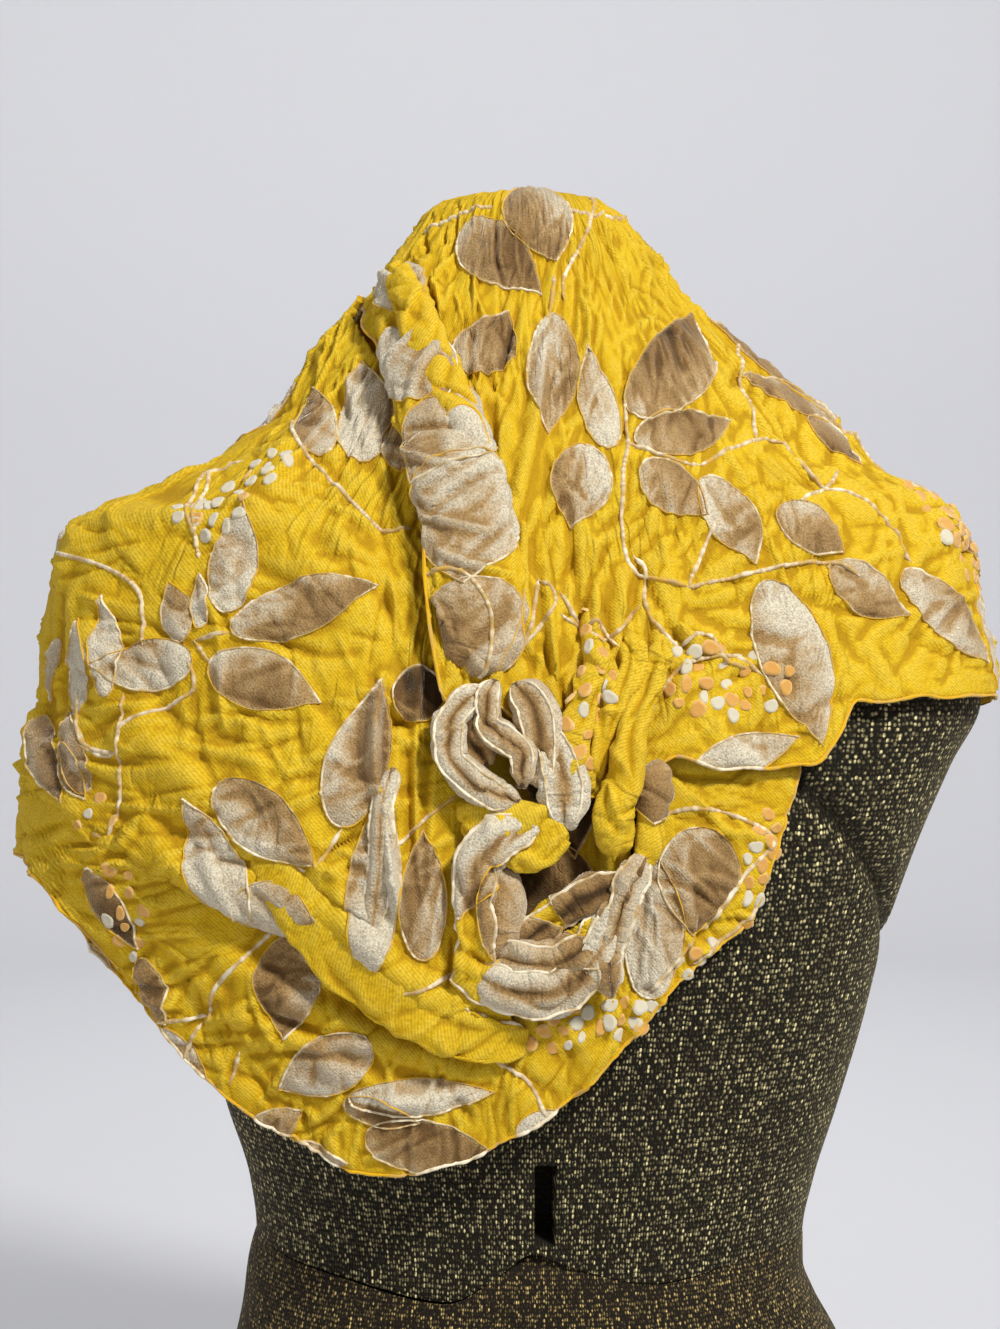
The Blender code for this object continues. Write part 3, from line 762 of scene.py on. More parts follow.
def grow_spray(x, y, heading, length, unit):
    """A stem with leaves to either side and one at its end, for the sides the photo hides."""
    direction, stem, leaves = math.radians(heading), [(x, y)], []
    count = max(2, int(length / 30))
    for number in range(count):
        direction += 0.22 * math.sin(2.1 * number + x)
        x += math.cos(direction) * length / count / unit
        y += math.sin(direction) * length / count
        stem.append((x, y))
        side = 0.9 if number % 2 else -0.9
        reach = (52, 44, 58)[number % 3]
        tip_x = x + math.cos(direction + side) * reach / unit
        tip_y = y + math.sin(direction + side) * reach
        leaves.append((x, y, tip_x, tip_y, (25, 21, 28)[number % 3], (0.1, 0.7, 0.3, 0.9)[number % 4]))
    end = (x + math.cos(direction) * 50 / unit, y + math.sin(direction) * 50)
    leaves.append((x, y, *end, 23, 0.2))
    return stem, leaves


def places_on(cloth, x, y):
    """Points and normals of a finished stretch at places of its chart, and which lie on it."""
    rows, columns = cloth["x"].shape
    found = [cloth["tree"].find((a * cloth["unit"], b, 0)) for a, b in zip(x, y)]
    near = np.array([entry[1] for entry in found])
    i = np.clip(near // columns, 1, rows - 2)
    j = np.clip(near % columns, 1, columns - 2)
    gx, gy = cloth["x"], cloth["y"]
    xi, xj = (gx[i + 1, j] - gx[i - 1, j]) / 2, (gx[i, j + 1] - gx[i, j - 1]) / 2
    yi, yj = (gy[i + 1, j] - gy[i - 1, j]) / 2, (gy[i, j + 1] - gy[i, j - 1]) / 2
    det = xi * yj - xj * yi
    det = np.where(np.abs(det) < 1e-9, 1e-9, det)
    dx, dy = x - gx[i, j], y - gy[i, j]
    di = np.clip((dx * yj - dy * xj) / det, -1, 1)
    dj = np.clip((dy * xi - dx * yi) / det, -1, 1)
    a, b = np.floor(di).astype(int), np.floor(dj).astype(int)
    a, b = np.minimum(a, 0), np.minimum(b, 0)
    fi, fj = (di - a)[:, None], (dj - b)[:, None]
    i, j = i + a, j + b

    def blend(values):
        low = values[i, j] * (1 - fi) + values[i + 1, j] * fi
        high = values[i, j + 1] * (1 - fi) + values[i + 1, j + 1] * fi
        return low * (1 - fj) + high * fj

    normals = blend(cloth["normals"])
    normals /= np.linalg.norm(normals, axis=-1, keepdims=True)
    on_it = np.array([entry[2] for entry in found]) < 3.0
    return blend(cloth["points"]), normals, on_it


CORD_SECTION = ((-0.5, -0.35), (-0.4, 0.5), (0, 1), (0.4, 0.5), (0.5, -0.35))


def pile_cord(points, normals, width, height, light, closed, seed):
    """A narrow raised line of pile along points: corners, faces and how light each corner is."""
    count = len(points)
    ahead = np.roll(points, -1, 0) - np.roll(points, 1, 0) if closed else np.gradient(points, axis=0)
    side = np.cross(normals, ahead)
    side /= np.maximum(np.linalg.norm(side, axis=-1, keepdims=True), 1e-9)
    tufts = np.random.default_rng(seed).uniform(0.75, 1.25, (count, 2))
    ends = np.ones(count) if closed else np.clip(np.arange(count)[:, None] / 3, 0.3, 1)[:, 0]
    ends = ends if closed else np.minimum(ends, ends[::-1])
    corners = [
        points
        + side * (a * width * ends * tufts[:, 0])[:, None]
        + normals * (b * height * ends * tufts[:, 1])[:, None]
        for a, b in CORD_SECTION
    ]
    corners = np.stack(corners, 1).reshape(-1, 3)
    size = len(CORD_SECTION)
    faces = [
        (i * size + k, i * size + k + 1, (i + 1) % count * size + k + 1, (i + 1) % count * size + k)
        for i in range(count if closed else count - 1)
        for k in range(size - 1)
    ]
    return corners, faces, np.repeat(np.clip(light + (tufts[:, 1] - 1) * 0.9, 0, 1), size)


def berry(point, normal, radius, white, seed):
    """A round dot of standing pile: corners, faces and how light each corner is."""
    sides, dice = 12, np.random.default_rng(seed)
    across = np.cross(normal, (0.3, 0.2, 1.0))
    across /= np.linalg.norm(across)
    up = np.cross(normal, across)
    turn = np.linspace(0, 2 * math.pi, sides + 1)[:-1] + dice.uniform(0, 1)
    wobble = 1 + 0.12 * np.sin(2 * turn + dice.uniform(0, 6))
    wobble = wobble + 0.07 * np.sin(3 * turn + dice.uniform(0, 6))
    ring = np.cos(turn)[:, None] * across * dice.uniform(0.7, 1.15) + np.sin(turn)[:, None] * up
    # Painted sheen: the middle is darkest and the rings are paler towards the rim.
    corners, light = [point + normal * 0.6], [0.0]
    for share, height, bright in ((0.55, 0.6, 0.1), (0.84, 0.7, 0.6), (1.0, -0.5, 0.9)):
        corners += list(point + ring * (radius * share * wobble)[:, None] + normal * height)
        light += [bright] * sides
    faces = [(0, 1 + k, 1 + (k + 1) % sides) for k in range(sides)]
    for row in range(2):
        low, high = 1 + row * sides, 1 + (row + 1) * sides
        faces += [(low + k, high + k, high + (k + 1) % sides, low + (k + 1) % sides) for k in range(sides)]
    return np.array(corners), faces, np.clip(np.array(light) + white * 0.6, 0, 1) + white


def joined(name, parts, material):
    """One object from many small meshes, with the light of each corner."""
    points, faces, values, start = [], [], [], 0
    for corners, its_faces, light in parts:
        points.append(corners)
        faces += [tuple(index + start for index in face) for face in its_faces]
        values.append(light)
        start += len(corners)
    mesh = bpy.data.meshes.new(name)
    mesh.from_pydata((np.concatenate(points) * MM).tolist(), [], faces)
    attribute = mesh.attributes.new("light", "FLOAT", "POINT")
    attribute.data.foreach_set("value", np.concatenate(values).astype(np.float32))
    mesh.shade_smooth()
    mesh.materials.append(material)
    made = bpy.data.objects.new(name, mesh)
    bpy.context.collection.objects.link(made)
    return made


def devore_velvet():
    """Golden crepe, dull and slightly see-through, with taupe silk pile painted as silver sheen where it is
    brushed to the light and near-black shade where it is brushed away; painted shade in the crepe's troughs
    and creases, painted highlights on its crests.
    """
    material, tree, out = new_material("devore_silk_velvet_on_crepe")
    flat = add(tree, "UVMap", {"uv_map": "flat"}, {})
    place = add(tree, "TexCoord", {}, {}).outputs["Object"]
    pile_depth, brushing_and_painted_light, crest = (
        add(tree, "Attribute", {"attribute_name": field}, {}).outputs["Fac"]
        for field in ("pile", "brushing_and_painted_light", "crest")
    )
    even = []
    for size, detail, rough in (
        # mm across, detail, roughness
        (0.87, 2, 0.5),      # tufts of the pile
        (35.7, 3, 0.5),      # uneven dye
        (29.4, 2, 0.45),     # patches of crushed pile
        (5.26, 3, 0.55),     # small dents
        (58.8, 1, 0.5),      # where the one and the other set of creases shows
        (45.5, 1, 0.5),
    ):
        grains = {"Vector": place, "Scale": 1 / (size * MM), "Detail": detail, "Roughness": rough}
        even.append(add(tree, "TexNoise", {}, grains))
    fuzz, dye, crushed, crumpled, *comes_and_goes = even
    drawn_out = []
    for across, along, lean, shift, detail, rough in (
        # mm across and along, lean in radians, shift, detail, roughness
        (1.316, 0.833, 0.5, 0.0, 1, 0.5),        # threads of crepe: the real 0.3 mm wouldn't show
        (5.0, 16.67, 0.0, 0.0, 2, 0.5),          # streaks in the pile
        (10.53, 38.46, 0.35, 0.0, 2, 0.4),       # pressed creases in one direction
        (10.53, 38.46, -0.75, 5.0, 2, 0.4),      # and in another
    ):
        scale = (1 / (across * MM), 1 / (along * MM), 1)
        turned = {"Vector": flat, "Location": (shift, 0, 0), "Rotation": (0, 0, lean), "Scale": scale}
        chart = add(tree, "Mapping", {}, turned)
        grains = {"Vector": chart, "Scale": 1, "Detail": detail, "Roughness": rough}
        drawn_out.append((chart, add(tree, "TexNoise", {}, grains)))
    (thread_chart, threads), (_, streaks), *pressed = drawn_out
    waves = {"Vector": thread_chart, "Scale": ONE_BAND, "Distortion": 2.2}
    rows = add(tree, "TexWave", {}, {**waves, "Detail": 1, "Detail Scale": 0.4}).outputs["Fac"]
    weave = combined(tree, "ADD", 0.0, ((threads, 0, 1, 0, 0.6), (rows, 0, 1, 0.12, 0.3)))
    creases = 0.0
    for (_, line), shown in zip(pressed, comes_and_goes):
        away = add(tree, "Math", {"operation": "SUBTRACT"}, {0: line, 1: 0.5})
        away = add(tree, "Math", {"operation": "ABSOLUTE"}, {0: away})
        crease = combined(tree, "MULTIPLY", 1.0, ((away, 0.06, 0, 0, 1), (shown, 0.5, 0.62, 0, 1)))
        creases = add(tree, "Math", {"operation": "ADD"}, {0: creases, 1: crease})
    depth = combined(tree, "ADD", pile_depth, ((fuzz, 0.3, 0.7, -0.35, 0.35),))
    on_pile = add(tree, "MapRange", {}, {"Value": depth, 1: -0.2, 2: 0.25})
    lies_over = (
        # value, from, to, lowest, highest
        (crushed, 0.25, 0.75, -0.45, 0.45),
        (streaks, 0.25, 0.75, -0.14, 0.14),
        # painted highlight on crests and painted shade in troughs
        (crest, -1, 1, -0.22, 0.28),
    )
    nap_and_painted_light = combined(tree, "ADD", brushing_and_painted_light, lies_over)
    ground = layered(
        tree,
        colour("#efcb26"),
        (
            # value, from, to, full share, colour
            (dye, 0.35, 0.7, 1.0, "#e6bc1a"),
            # painted shade in the troughs of the crinkles and folds
            (crest, -0.15, -1.3, 0.6, "#a87808"),
            # painted highlight on their crests
            (crest, 0.1, 1.0, 0.35, "#f6dc52"),
            (weave, 0.4, 0.62, 0.48, "#a87c08"),
            # painted shade along the pressed creases
            (creases, 0.3, 1.0, 0.16, "#a07306"),
        ),
    )
    velvet = layered(
        tree,
        colour("#7a5a30"),
        (
            # the brushing painted as light: mid brown, silver sheen as it rises, near-black shade as it
            # falls
            (nap_and_painted_light, -0.3, 0.45, 1.0, "#b18f5c"),
            (nap_and_painted_light, 0.35, 1.15, 1.0, "#dacfb4"),   # painted sheen: silver where the pile is brushed to the light
            (nap_and_painted_light, -0.2, -0.9, 1.0, "#3f2c12"),   # painted shade: nearly black where it is brushed away from the light
            (fuzz, 0.38, 0.66, 0.42, "#4b3518"),
            (depth, 1.3, 0.1, 0.4, "#d8c792"),   # painted sheen: pale along the edge of the pile
        ),
    )
    tufts = combined(tree, "MULTIPLY", on_pile, ((fuzz, 0.2, 0.8, 0.0, 0.6),))
    height = combined(
        tree, "ADD", tufts, ((weave, 0, 1, 0, 0.5), (crumpled, 0, 1, 0, 1.3), (creases, 0, 2, 0, -1.8))
    )
    bump = add(tree, "Bump", {}, {"Height": height, "Distance": 0.9 * MM, "Strength": 0.8})
    dull = {"Base Color": ground, "Roughness": 0.85, "Specular IOR Level": 0.2, "Normal": bump}
    crepe = add(tree, "BsdfPrincipled", {}, dull)
    thin = add(tree, "BsdfTranslucent", {}, {"Color": colour("#f2c30e"), "Normal": bump})
    napped = {
        "Base Color": velvet,
        "Roughness": 0.8,
        "Specular IOR Level": 0.2,
        "Sheen Weight": 0.75,
        "Sheen Roughness": 0.35,
        "Sheen Tint": colour("#fff4de"),
        "Normal": bump,
    }
    pile = add(tree, "BsdfPrincipled", {}, napped)
    cloth = add(tree, "MixShader", {}, {0: 0.22, 1: crepe, 2: thin})
    both = add(tree, "MixShader", {}, {0: on_pile, 1: cloth, 2: pile})
    tree.links.new(both.outputs[0], out.inputs[0])
    return material


def cut_pile(name, patch, spread, base, layers, finish):
    """Pile seen from its side: gold where its light value is low, paler and uneven in patches where it
    catches light.
    """
    material, tree, out = new_material(name)
    place = add(tree, "TexCoord", {}, {}).outputs["Object"]
    patches = add(tree, "TexNoise", {}, {"Vector": place, "Scale": 1 / (patch * MM), "Detail": 2})
    light = add(tree, "Attribute", {"attribute_name": "light"}, {}).outputs["Fac"]
    light = combined(tree, "ADD", light, ((patches, 0.3, 0.7, -spread, spread),))
    shade = layered(tree, colour(base), [(light, *layer) for layer in layers])
    tufted = {"Base Color": shade, "Roughness": 0.85, "Sheen Tint": colour("#fff6e4"), **finish}
    tree.links.new(add(tree, "BsdfPrincipled", {}, tufted).outputs[0], out.inputs[0])
    return material


VELVET = devore_velvet()
PILE_EDGE = cut_pile(
    "cut_pile_edge",
    11.1,
    0.3,
    "#d9a814",
    ((0.0, 0.5, 1.0, "#b99a62"), (0.5, 1.0, 1.0, "#ece0c2")),
    {"Specular IOR Level": 0.2, "Sheen Weight": 0.5, "Sheen Roughness": 0.4},
)
BERRY_PILE = cut_pile(
    "peach_and_cream_berry_pile",
    3.33,
    0.35,
    "#cb9442",
    ((0.2, 0.95, 1.0, "#dcb36a"), (0.95, 1.5, 1.0, "#c9c0a6")),
    {"Sheen Weight": 0.4},
)


def cloth_normals(points, closed):
    """Normals of a stretch; along the top of the closed one they point straight up."""
    normals = grid_normals(points, closed)
    if closed:
        normals[:, 0] = (0, 0, 1)
    return normals


def raise_cloth(chart, base, depth, folds, look):
    """Points and normals of a stretch once its folds, crinkles and pile have lifted it."""
    x, y = chart
    unit, pull = look["unit"], look["pull"]
    on_pile = np.clip((depth + 0.5) / 1.3, 0, 1)
    loose = look["crumpled"] * look["calm"]
    rise = fold_lift(x, y, folds, unit)
    crumpled = loose * crinkle(x * unit, y, (pull[0] * unit, pull[1]), look["seed"])
    rise = rise + crumpled * (1 - 0.3 * on_pile)
    rise = rise + PILE_HEIGHT * on_pile + LEAF_CROWN * np.clip(depth / 9, 0, 1)
    points = base + cloth_normals(base, look["closed"]) * rise[..., None]
    return points, cloth_normals(points, look["closed"])


def crests(points, normals):
    """How far each place stands out of the cloth round it, from -1.5 in a trough to 1.5."""
    smooth, crest = points.copy(), 0
    for passes, full in ((3, 0.36), (11, 1.1)):
        for _ in range(passes):
            around = smooth[:-2, 1:-1] + smooth[2:, 1:-1] + smooth[1:-1, :-2] + smooth[1:-1, 2:]
            smooth[1:-1, 1:-1] = around / 4
        crest = crest + ((points - smooth) * normals).sum(axis=-1) / full
    return np.clip(crest, -1.5, 1.5)


def lay_cords(finished, leaves, stems, ridges, look):
    """The lines of pile as raised cords: leaf outlines, stems and the ridges of rolls."""
    lines = []
    for leaf in leaves:
        a, b, toward = leaf_outline(leaf, look["scale"])
        # Painted light: the side of each outline that faces the light is paler and wider.
        lines.append((a, b, 0.35 + 0.7 * toward, OUTLINE_HEIGHT, 0.12 + 0.62 * toward, True))
    plain = [(stem, STEM_WIDTH, STEM_LIGHT) for stem in stems]
    plain += [(ridge, RIDGE_WIDTH, RIDGE_LIGHT) for ridge in ridges]
    for places, width, light in plain:
        a, b = smooth_line(places, look["unit"])
        lines.append((a, b, np.full(len(a), width), STEM_HEIGHT, np.full(len(a), light), False))
    cords = []
    for number, (a, b, width, height, light, ring) in enumerate(lines):
        spots, outward, on_it = places_on(finished, a, b)
        seed = look["seed"] + number
        if ring and on_it.all():
            cords.append(pile_cord(spots, outward, width, height, light, True, seed))
            continue
        cuts = np.flatnonzero(np.diff(on_it.astype(int))) + 1
        for run in np.split(np.arange(len(on_it)), cuts):
            if on_it[run[0]] and len(run) > 4:
                line = (spots[run], outward[run], width[run], height, light[run])
                cords.append(pile_cord(*line, False, seed))
    return cords


def lay_berries(finished, groups, seed):
    """Clusters of berries strewn over their ovals, none nearer to another than BERRY_GAP."""
    dots, dice = [], np.random.default_rng(seed + 5)
    for at_x, at_y, spread_x, spread_y, count, white in groups:
        taken = []
        for _ in range(count * 14):
            angle, reach = dice.uniform(0, 2 * math.pi), math.sqrt(dice.uniform(0, 1))
            spot = (at_x + spread_x * reach * math.cos(angle), at_y + spread_y * reach * math.sin(angle))
            gaps = (math.hypot((spot[0] - a) * finished["unit"], spot[1] - b) for a, b in taken)
            if len(taken) < count and all(gap > BERRY_GAP for gap in gaps):
                taken.append(spot)
        spots, outward, on_it = places_on(finished, *np.array(taken).T)
        for k in np.flatnonzero(on_it):
            pale = float(dice.uniform() < white)
            radius = dice.uniform(*BERRY_RADII)
            dots.append(berry(spots[k], outward[k], radius, pale, seed + 100 + int(k)))
    return dots


def settle(name, chart, base, table, look):
    """Folds, crinkles and patterns a stretch of the scarf, and makes its cloth, lines and berries.

    chart is (x, y) and base the points in mm. table holds leaves, stems, berries, sprays, folds,
    hems and ridges; look holds the seed and what differs from USUAL_LOOK.
    """
    x, y = chart
    look = {**USUAL_LOOK, **look}
    unit, closed, seed = look["unit"], look["closed"], look["seed"]
    leaves, stems = list(table.get("leaves", ())), list(table.get("stems", ()))
    for row in table.get("sprays", ()):
        stem, its_leaves = grow_spray(*row, unit)
        stems.append(stem)
        leaves += its_leaves
    depth, brushing_and_painted_light = pile_map(x, y, leaves, look["scale"])
    points, normals = raise_cloth(chart, base, depth, table.get("folds", ()), look)
    # The brushing field carries painted light and shade. The crest field drives painted shade in troughs
    # and painted highlights on crests.
    fields = {"pile": depth, "brushing_and_painted_light": brushing_and_painted_light + look["shade"], "crest": crests(points, normals)}
    cloth = grid_object(name, points, closed, fields, (x * unit, y), VELVET)
    wall = cloth.modifiers.new("wall", "SOLIDIFY")
    wall.thickness = CREPE_WALL * MM
    wall.offset = -1
    tree = kdtree.KDTree(x.size)
    for index, (a, b) in enumerate(zip(x.ravel() * unit, y.ravel())):
        tree.insert((a, b, 0), index)
    tree.balance()
    finished = {"x": x, "y": y, "points": points, "normals": normals, "tree": tree, "unit": unit}
    cords = lay_cords(finished, leaves, stems, table.get("ridges", ()), look)
    for hem in table.get("hems", ()):
        edge = HEM_EDGES[hem]
        light = np.clip((depth[edge] + 1) / 2, 0, 1) * 0.9 + 0.05
        ring = closed and hem == "foot"
        line = (points[edge], normals[edge], HEM_WIDTH, HEM_HEIGHT, light)
        cords.append(pile_cord(*line, ring, seed + 77))
    dots = lay_berries(finished, table.get("berries", ()), seed)
    pieces = []
    for kind, parts, material in (("_pile_lines", cords, PILE_EDGE), ("_berries", dots, BERRY_PILE)):
        if parts:
            pieces.append(joined(name + kind, parts, material))
    for piece in (cloth, *pieces):
        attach(piece, "root")
    return cloth, pieces


ON_DRAPE = {"unit": MM_PER_DEGREE, "scale": drape_scale}

shoulder_turns = np.interp(
    np.linspace(0, 1, 331)[:-1], (0, 0.12, 0.26, 0.84, 0.9, 1), (-78, 0, 30, 150, 180, 282)
)
edge_at, edge_lift = np.moveaxis(smooth_columns(SHOULDER_EDGE, shoulder_turns), -1, 0)
share = np.linspace(0, 1, 144)[None, :] ** 1.15
edge_place = shoulder_turns * MM_PER_DEGREE
edge_at = edge_at + 2.0 * grain(edge_place / 17, 0 * edge_place, 21)
edge_lift = edge_lift + 2.4 * grain(edge_place / 26, 0 * edge_place, 22)
shoulder_at = DRAPE[0][0] + (edge_at[:, None] - DRAPE[0][0]) * share
shoulder_x = shoulder_turns[:, None] + 0 * shoulder_at
shoulder, shoulder_trim = settle(
    "scarf_neck_and_shoulder_cloth",
    (shoulder_x, shoulder_at),
    lifted(shoulder_x, shoulder_at, edge_lift[:, None] * share**2),
    {
        "leaves": SHOULDER_LEAVES,
        "stems": SHOULDER_STEMS,
        "berries": SHOULDER_BERRIES,
        "sprays": SHOULDER_SPRAYS,
        "folds": SHOULDER_FOLDS,
        "hems": ("foot",),
    },
    {
        **ON_DRAPE,
        "seed": 11,
        "closed": True,
        "calm": np.clip((756 - shoulder_at) / 40, 0, 1) * np.clip((1 - share) * 14 + 0.3, 0, 1),
    },
)
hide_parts("scarf_neck_and_shoulder")


# ---- Left cowl of the scarf ----
# The stretch that comes off the left shoulder in a full, soft bag and is pulled up at its right
# edge into the column of folds. Its lower edge in front is turned under in a smooth roll.

LEFT_COWL_RIBS = (
    # turn, height and lift at the upper edge, the same at the lower edge, rise of the middle
    (113, 602, -10, 93, 360, -6, 0),
    (120, 624, -9, 105, 366, 3, 1),
    (131, 645, -7, 114, 383, 5, 1),
    (146, 664, -4, 123, 400, 3, 1),
    (162, 680, -1, 133, 408, 1, 0),
    (180, 694, 0, 145, 430, 0, 0),
    (200, 695, 1, 160, 452, 0, 0),
    (222, 693, 1, 185, 462, 0, 0),
    (245, 686, 2, 215, 460, 0, 1),
    (262, 672, 2, 245, 458, 1, 2),
    (280, 642, 3, 275, 466, 2, 2),
    (300, 600, 4, 302, 482, 3, 1),
)
LEFT_COWL_FOLDS = (
    # from turn, height, to turn, height, sideways bow, half width, rise
    (168, 560, 120, 420, 10, 18, 4),
    (175, 520, 140, 440, 8, 14, -3),
    (150, 620, 112, 520, 6, 16, 4),
    (128, 470, 108, 380, 4, 12, 3),
    (190, 600, 165, 470, 8, 22, 4),
    (215, 640, 205, 480, 8, 22, 4),
    (240, 640, 235, 480, 6, 20, -3),
    (262, 630, 262, 490, 8, 22, 5),
    (284, 600, 286, 490, 5, 16, -2),
    (116, 512, 115, 464, 1, 5, 8),
    (114, 464, 111, 411, 1, 5, 8),
    (111, 500, 109, 420, 1, 5, -5),
    (119, 500, 118, 470, 1, 6, -3),
    (143, 505, 137, 464, 2, 5, -2.5),
    (149, 463, 133, 409, 3, 8, 3),
    (146, 427, 132, 409, 2, 6, -2.5),
    (128, 497, 126, 479, 1, 4, -2),
    (139, 561, 126, 543, 1, 6, -2),
    (171, 596, 133, 577, 4, 9, 2),
    (150, 625, 111, 543, 5, 9, 2.5),
    (153, 655, 118, 594, 4, 9, -2.5),
    (128, 586, 114, 526, 4, 7, 2),
    (160, 545, 154, 501, 2, 6, 2),
    (165, 563, 163, 500, 3, 8, -2),
    (136, 501, 122, 428, 3, 7, 2),
    (149, 544, 142, 476, 4, 9, -2),
    (110, 526, 110, 477, 1, 5, 3),
    (129, 526, 118, 477, 2, 7, -2),
    (139, 447, 133, 409, 1, 5, 2.5),
    (132, 425, 123, 403, 1, 5, -2.5),
    (119, 560, 111, 502, 2, 6, -2),
    (159, 474, 148, 408, 4, 10, 2.5),
    (163, 580, 152, 544, 3, 8, -2),
    (107, 485, 108, 421, 1, 5, -3),
    (120, 449, 119, 408, 1, 6, 2),
    (172, 530, 168, 470, 3, 9, 2.5),
    (178, 610, 172, 540, 3, 10, -2.5),
    (186, 560, 181, 470, -3, 9, 2.5),
    (200, 560, 196, 470, 4, 12, -2.5),
    (226, 600, 224, 470, -5, 14, 3),
    (250, 560, 252, 470, 4, 12, -3),
    (272, 600, 273, 480, -4, 12, 3),
    (292, 570, 294, 490, 3, 10, 2.5),
)
LEFT_COWL_LEAVES = (
    # base turn, height, tip turn, height, width, brushing of the pile, painted as silver sheen (below 0, as
    # dark shade)
    # this leaf is brushed near black: painted shade in the hollow beside the column
    (114, 503, 105, 508, 24, -0.9),
    (139, 532, 119, 551, 25, 0.25),
    (141, 517, 125, 501, 25, 0.25),
    (140, 539, 142.5, 585, 22, 0.95),
    (145.5, 527, 149, 552, 15, 0.35),
    (143.3, 532, 145.5, 556, 9, 0.9),
    (143.5, 517, 157, 516, 23, 0.8),
    (154, 502, 158, 547, 14, 0.95),
    (159, 494, 161, 537, 18, 0.9),
    (155, 461, 162, 497, 17, 0.35),
    (120, 450, 116, 510, 26, 0.4),
    (137, 466, 123, 434, 25, 0.3),
    (133, 410, 141, 460, 24, 0.95),
    (134, 419, 122, 405, 27, 0.7),
    (116, 392, 114, 467, 21, 0.8),
    (108, 396, 108, 449, 19, 0.3),
    (166, 528, 169, 499, 15, 0.5),
    (169, 492, 158, 456, 18, 0.1),
    (161, 481, 155, 458, 14, -0.2),
    (128, 610, 145, 656, 24, 0.75),
    (138, 611, 158, 645, 17, 0.15),
    (120, 605, 128, 634, 15, 0.1),
)
LEFT_COWL_STEMS = (
    # turn, height of the places that a stem goes through
    ((170, 568), (160, 561), (153, 548), (151, 525)),
    ((144, 518), (143, 506), (148, 496), (151, 487), (150, 462), (151, 442)),
    ((151, 486), (152, 504)),
    ((157, 481), (153, 477), (151, 479)),
    ((147, 570), (152, 588), (158, 602), (154, 608)),
    ((154, 627), (131, 596), (121, 577), (115, 577)),
    ((103, 463), (107, 455), (112, 442)),
    ((160, 505), (157, 483), (151, 478)),
    ((144, 527), (139, 530)),
    ((144, 527), (141, 517)),
    ((114, 383), (108, 385), (103, 391)),
    ((146, 562), (151, 589), (159, 604)),
    ((123, 434), (120, 449)),
)
LEFT_COWL_BERRIES = (
    # turn, height, half spread in degrees, in mm, how many, share of white ones
    (145.5, 592, 4.5, 21, 44, 0.95),
    (151, 583, 3, 7, 10, 0.9),
    (153, 446, 2.5, 14, 14, 0.1),
)
LEFT_COWL_SPRAYS = (
    # turn, height, heading (90 is up), length
    (186, 500, 95, 150),
    (206, 520, 80, 110),
    (228, 490, 100, 150),
    (252, 520, 80, 110),
    (276, 490, 95, 120),
    (215, 660, 190, 50),
    (250, 650, 170, 40),
)
ROLLED_EDGE = 0.10       # share of the front's height that the turned edge takes


def stretch_chart(ribs, along, across):
    """Turns, heights and lifts of a grid lofted through ribs, at given shares of both ways."""
    stations = [(i / (len(ribs) - 1), *rib) for i, rib in enumerate(ribs)]
    columns = np.moveaxis(smooth_columns(stations, along), -1, 0)[..., None]
    turn_a, at_a, lift_a, turn_b, at_b, lift_b, belly = columns
    v = across[None, :]
    return (
        turn_a + (turn_b - turn_a) * v,
        at_a + (at_b - at_a) * v,
        lift_a + (lift_b - lift_a) * v + belly * (1 - (2 * v - 1) ** 2),
    )


cowl_along = np.interp(np.linspace(0, 1, 300), (0, 0.66, 1), (0, 5 / 11, 1))
cowl_across = np.interp(np.linspace(0, 1, 156), (0, 0.88, 1), (0, 0.92, 1))
cowl_x, cowl_y, cowl_lift = stretch_chart(LEFT_COWL_RIBS, cowl_along, cowl_across)
in_front = np.clip((150 - cowl_x) / 14, 0, 1)
turned = np.clip((cowl_across[None, :] - 1 + ROLLED_EDGE) / ROLLED_EDGE, 0, 1) * in_front
cowl_lift = cowl_lift + 4.5 * np.sin(math.pi * turned**0.8) - 3.5 * turned**3
cowl_lift = cowl_lift - 2.2 * np.clip((cowl_across[None, :] - 0.985) / 0.015, 0, 1) * (1 - in_front)
cowl, cowl_trim = settle(
    "scarf_left_cowl_cloth",
    (cowl_x, cowl_y),
    lifted(cowl_x, cowl_y, cowl_lift),
    {
        "leaves": LEFT_COWL_LEAVES,
        "stems": LEFT_COWL_STEMS,
        "berries": LEFT_COWL_BERRIES,
        "sprays": LEFT_COWL_SPRAYS,
        "folds": LEFT_COWL_FOLDS,
    },
    {**ON_DRAPE, "seed": 11, "calm": 1 - 0.75 * turned},
)
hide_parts("scarf_left_cowl")


# ---- Hem swag of the scarf ----
# The lowest stretch: it hangs in a curve under the cowl from back to front, and its right end
# goes up outside the ring as the band with the berry edge. The hem is piped with pile.

HEM_SWAG_RIBS = (
    # turn, height and lift at the upper edge, the same at the lower edge, rise of the middle
    (68, 484, -14, 45, 484, -12, 0),
    (72, 444, -12.5, 50, 440, -12, 0),
    (76, 415, -12.5, 54, 407, -12, 1),
    (81, 398, -12.5, 63, 389, -10, 2),
    (88, 388, -13, 72, 363, -8, 3),
    (97, 386, -13, 88, 326, -5, 3),
    (106, 392, -13, 101, 311, -3, 3),
    (115, 404, -13, 115, 304, 0, 3),
    (125, 418, -13, 127, 312, 0, 4),
    (136, 430, -11, 136, 324, 0, 4),
    (147, 446, -9, 145, 350, 0, 3),
    (158, 462, -9, 153, 385, 0, 2),
    (172, 474, -9, 165, 425, -1, 1),
    (190, 480, -8, 190, 430, -2, 1),
    (215, 480, -7, 215, 425, -3, 1),
    (245, 480, -6, 245, 422, -3, 1),
    (275, 484, -6, 275, 430, -3, 1),
    (300, 494, -7, 300, 452, -3, 1),
)
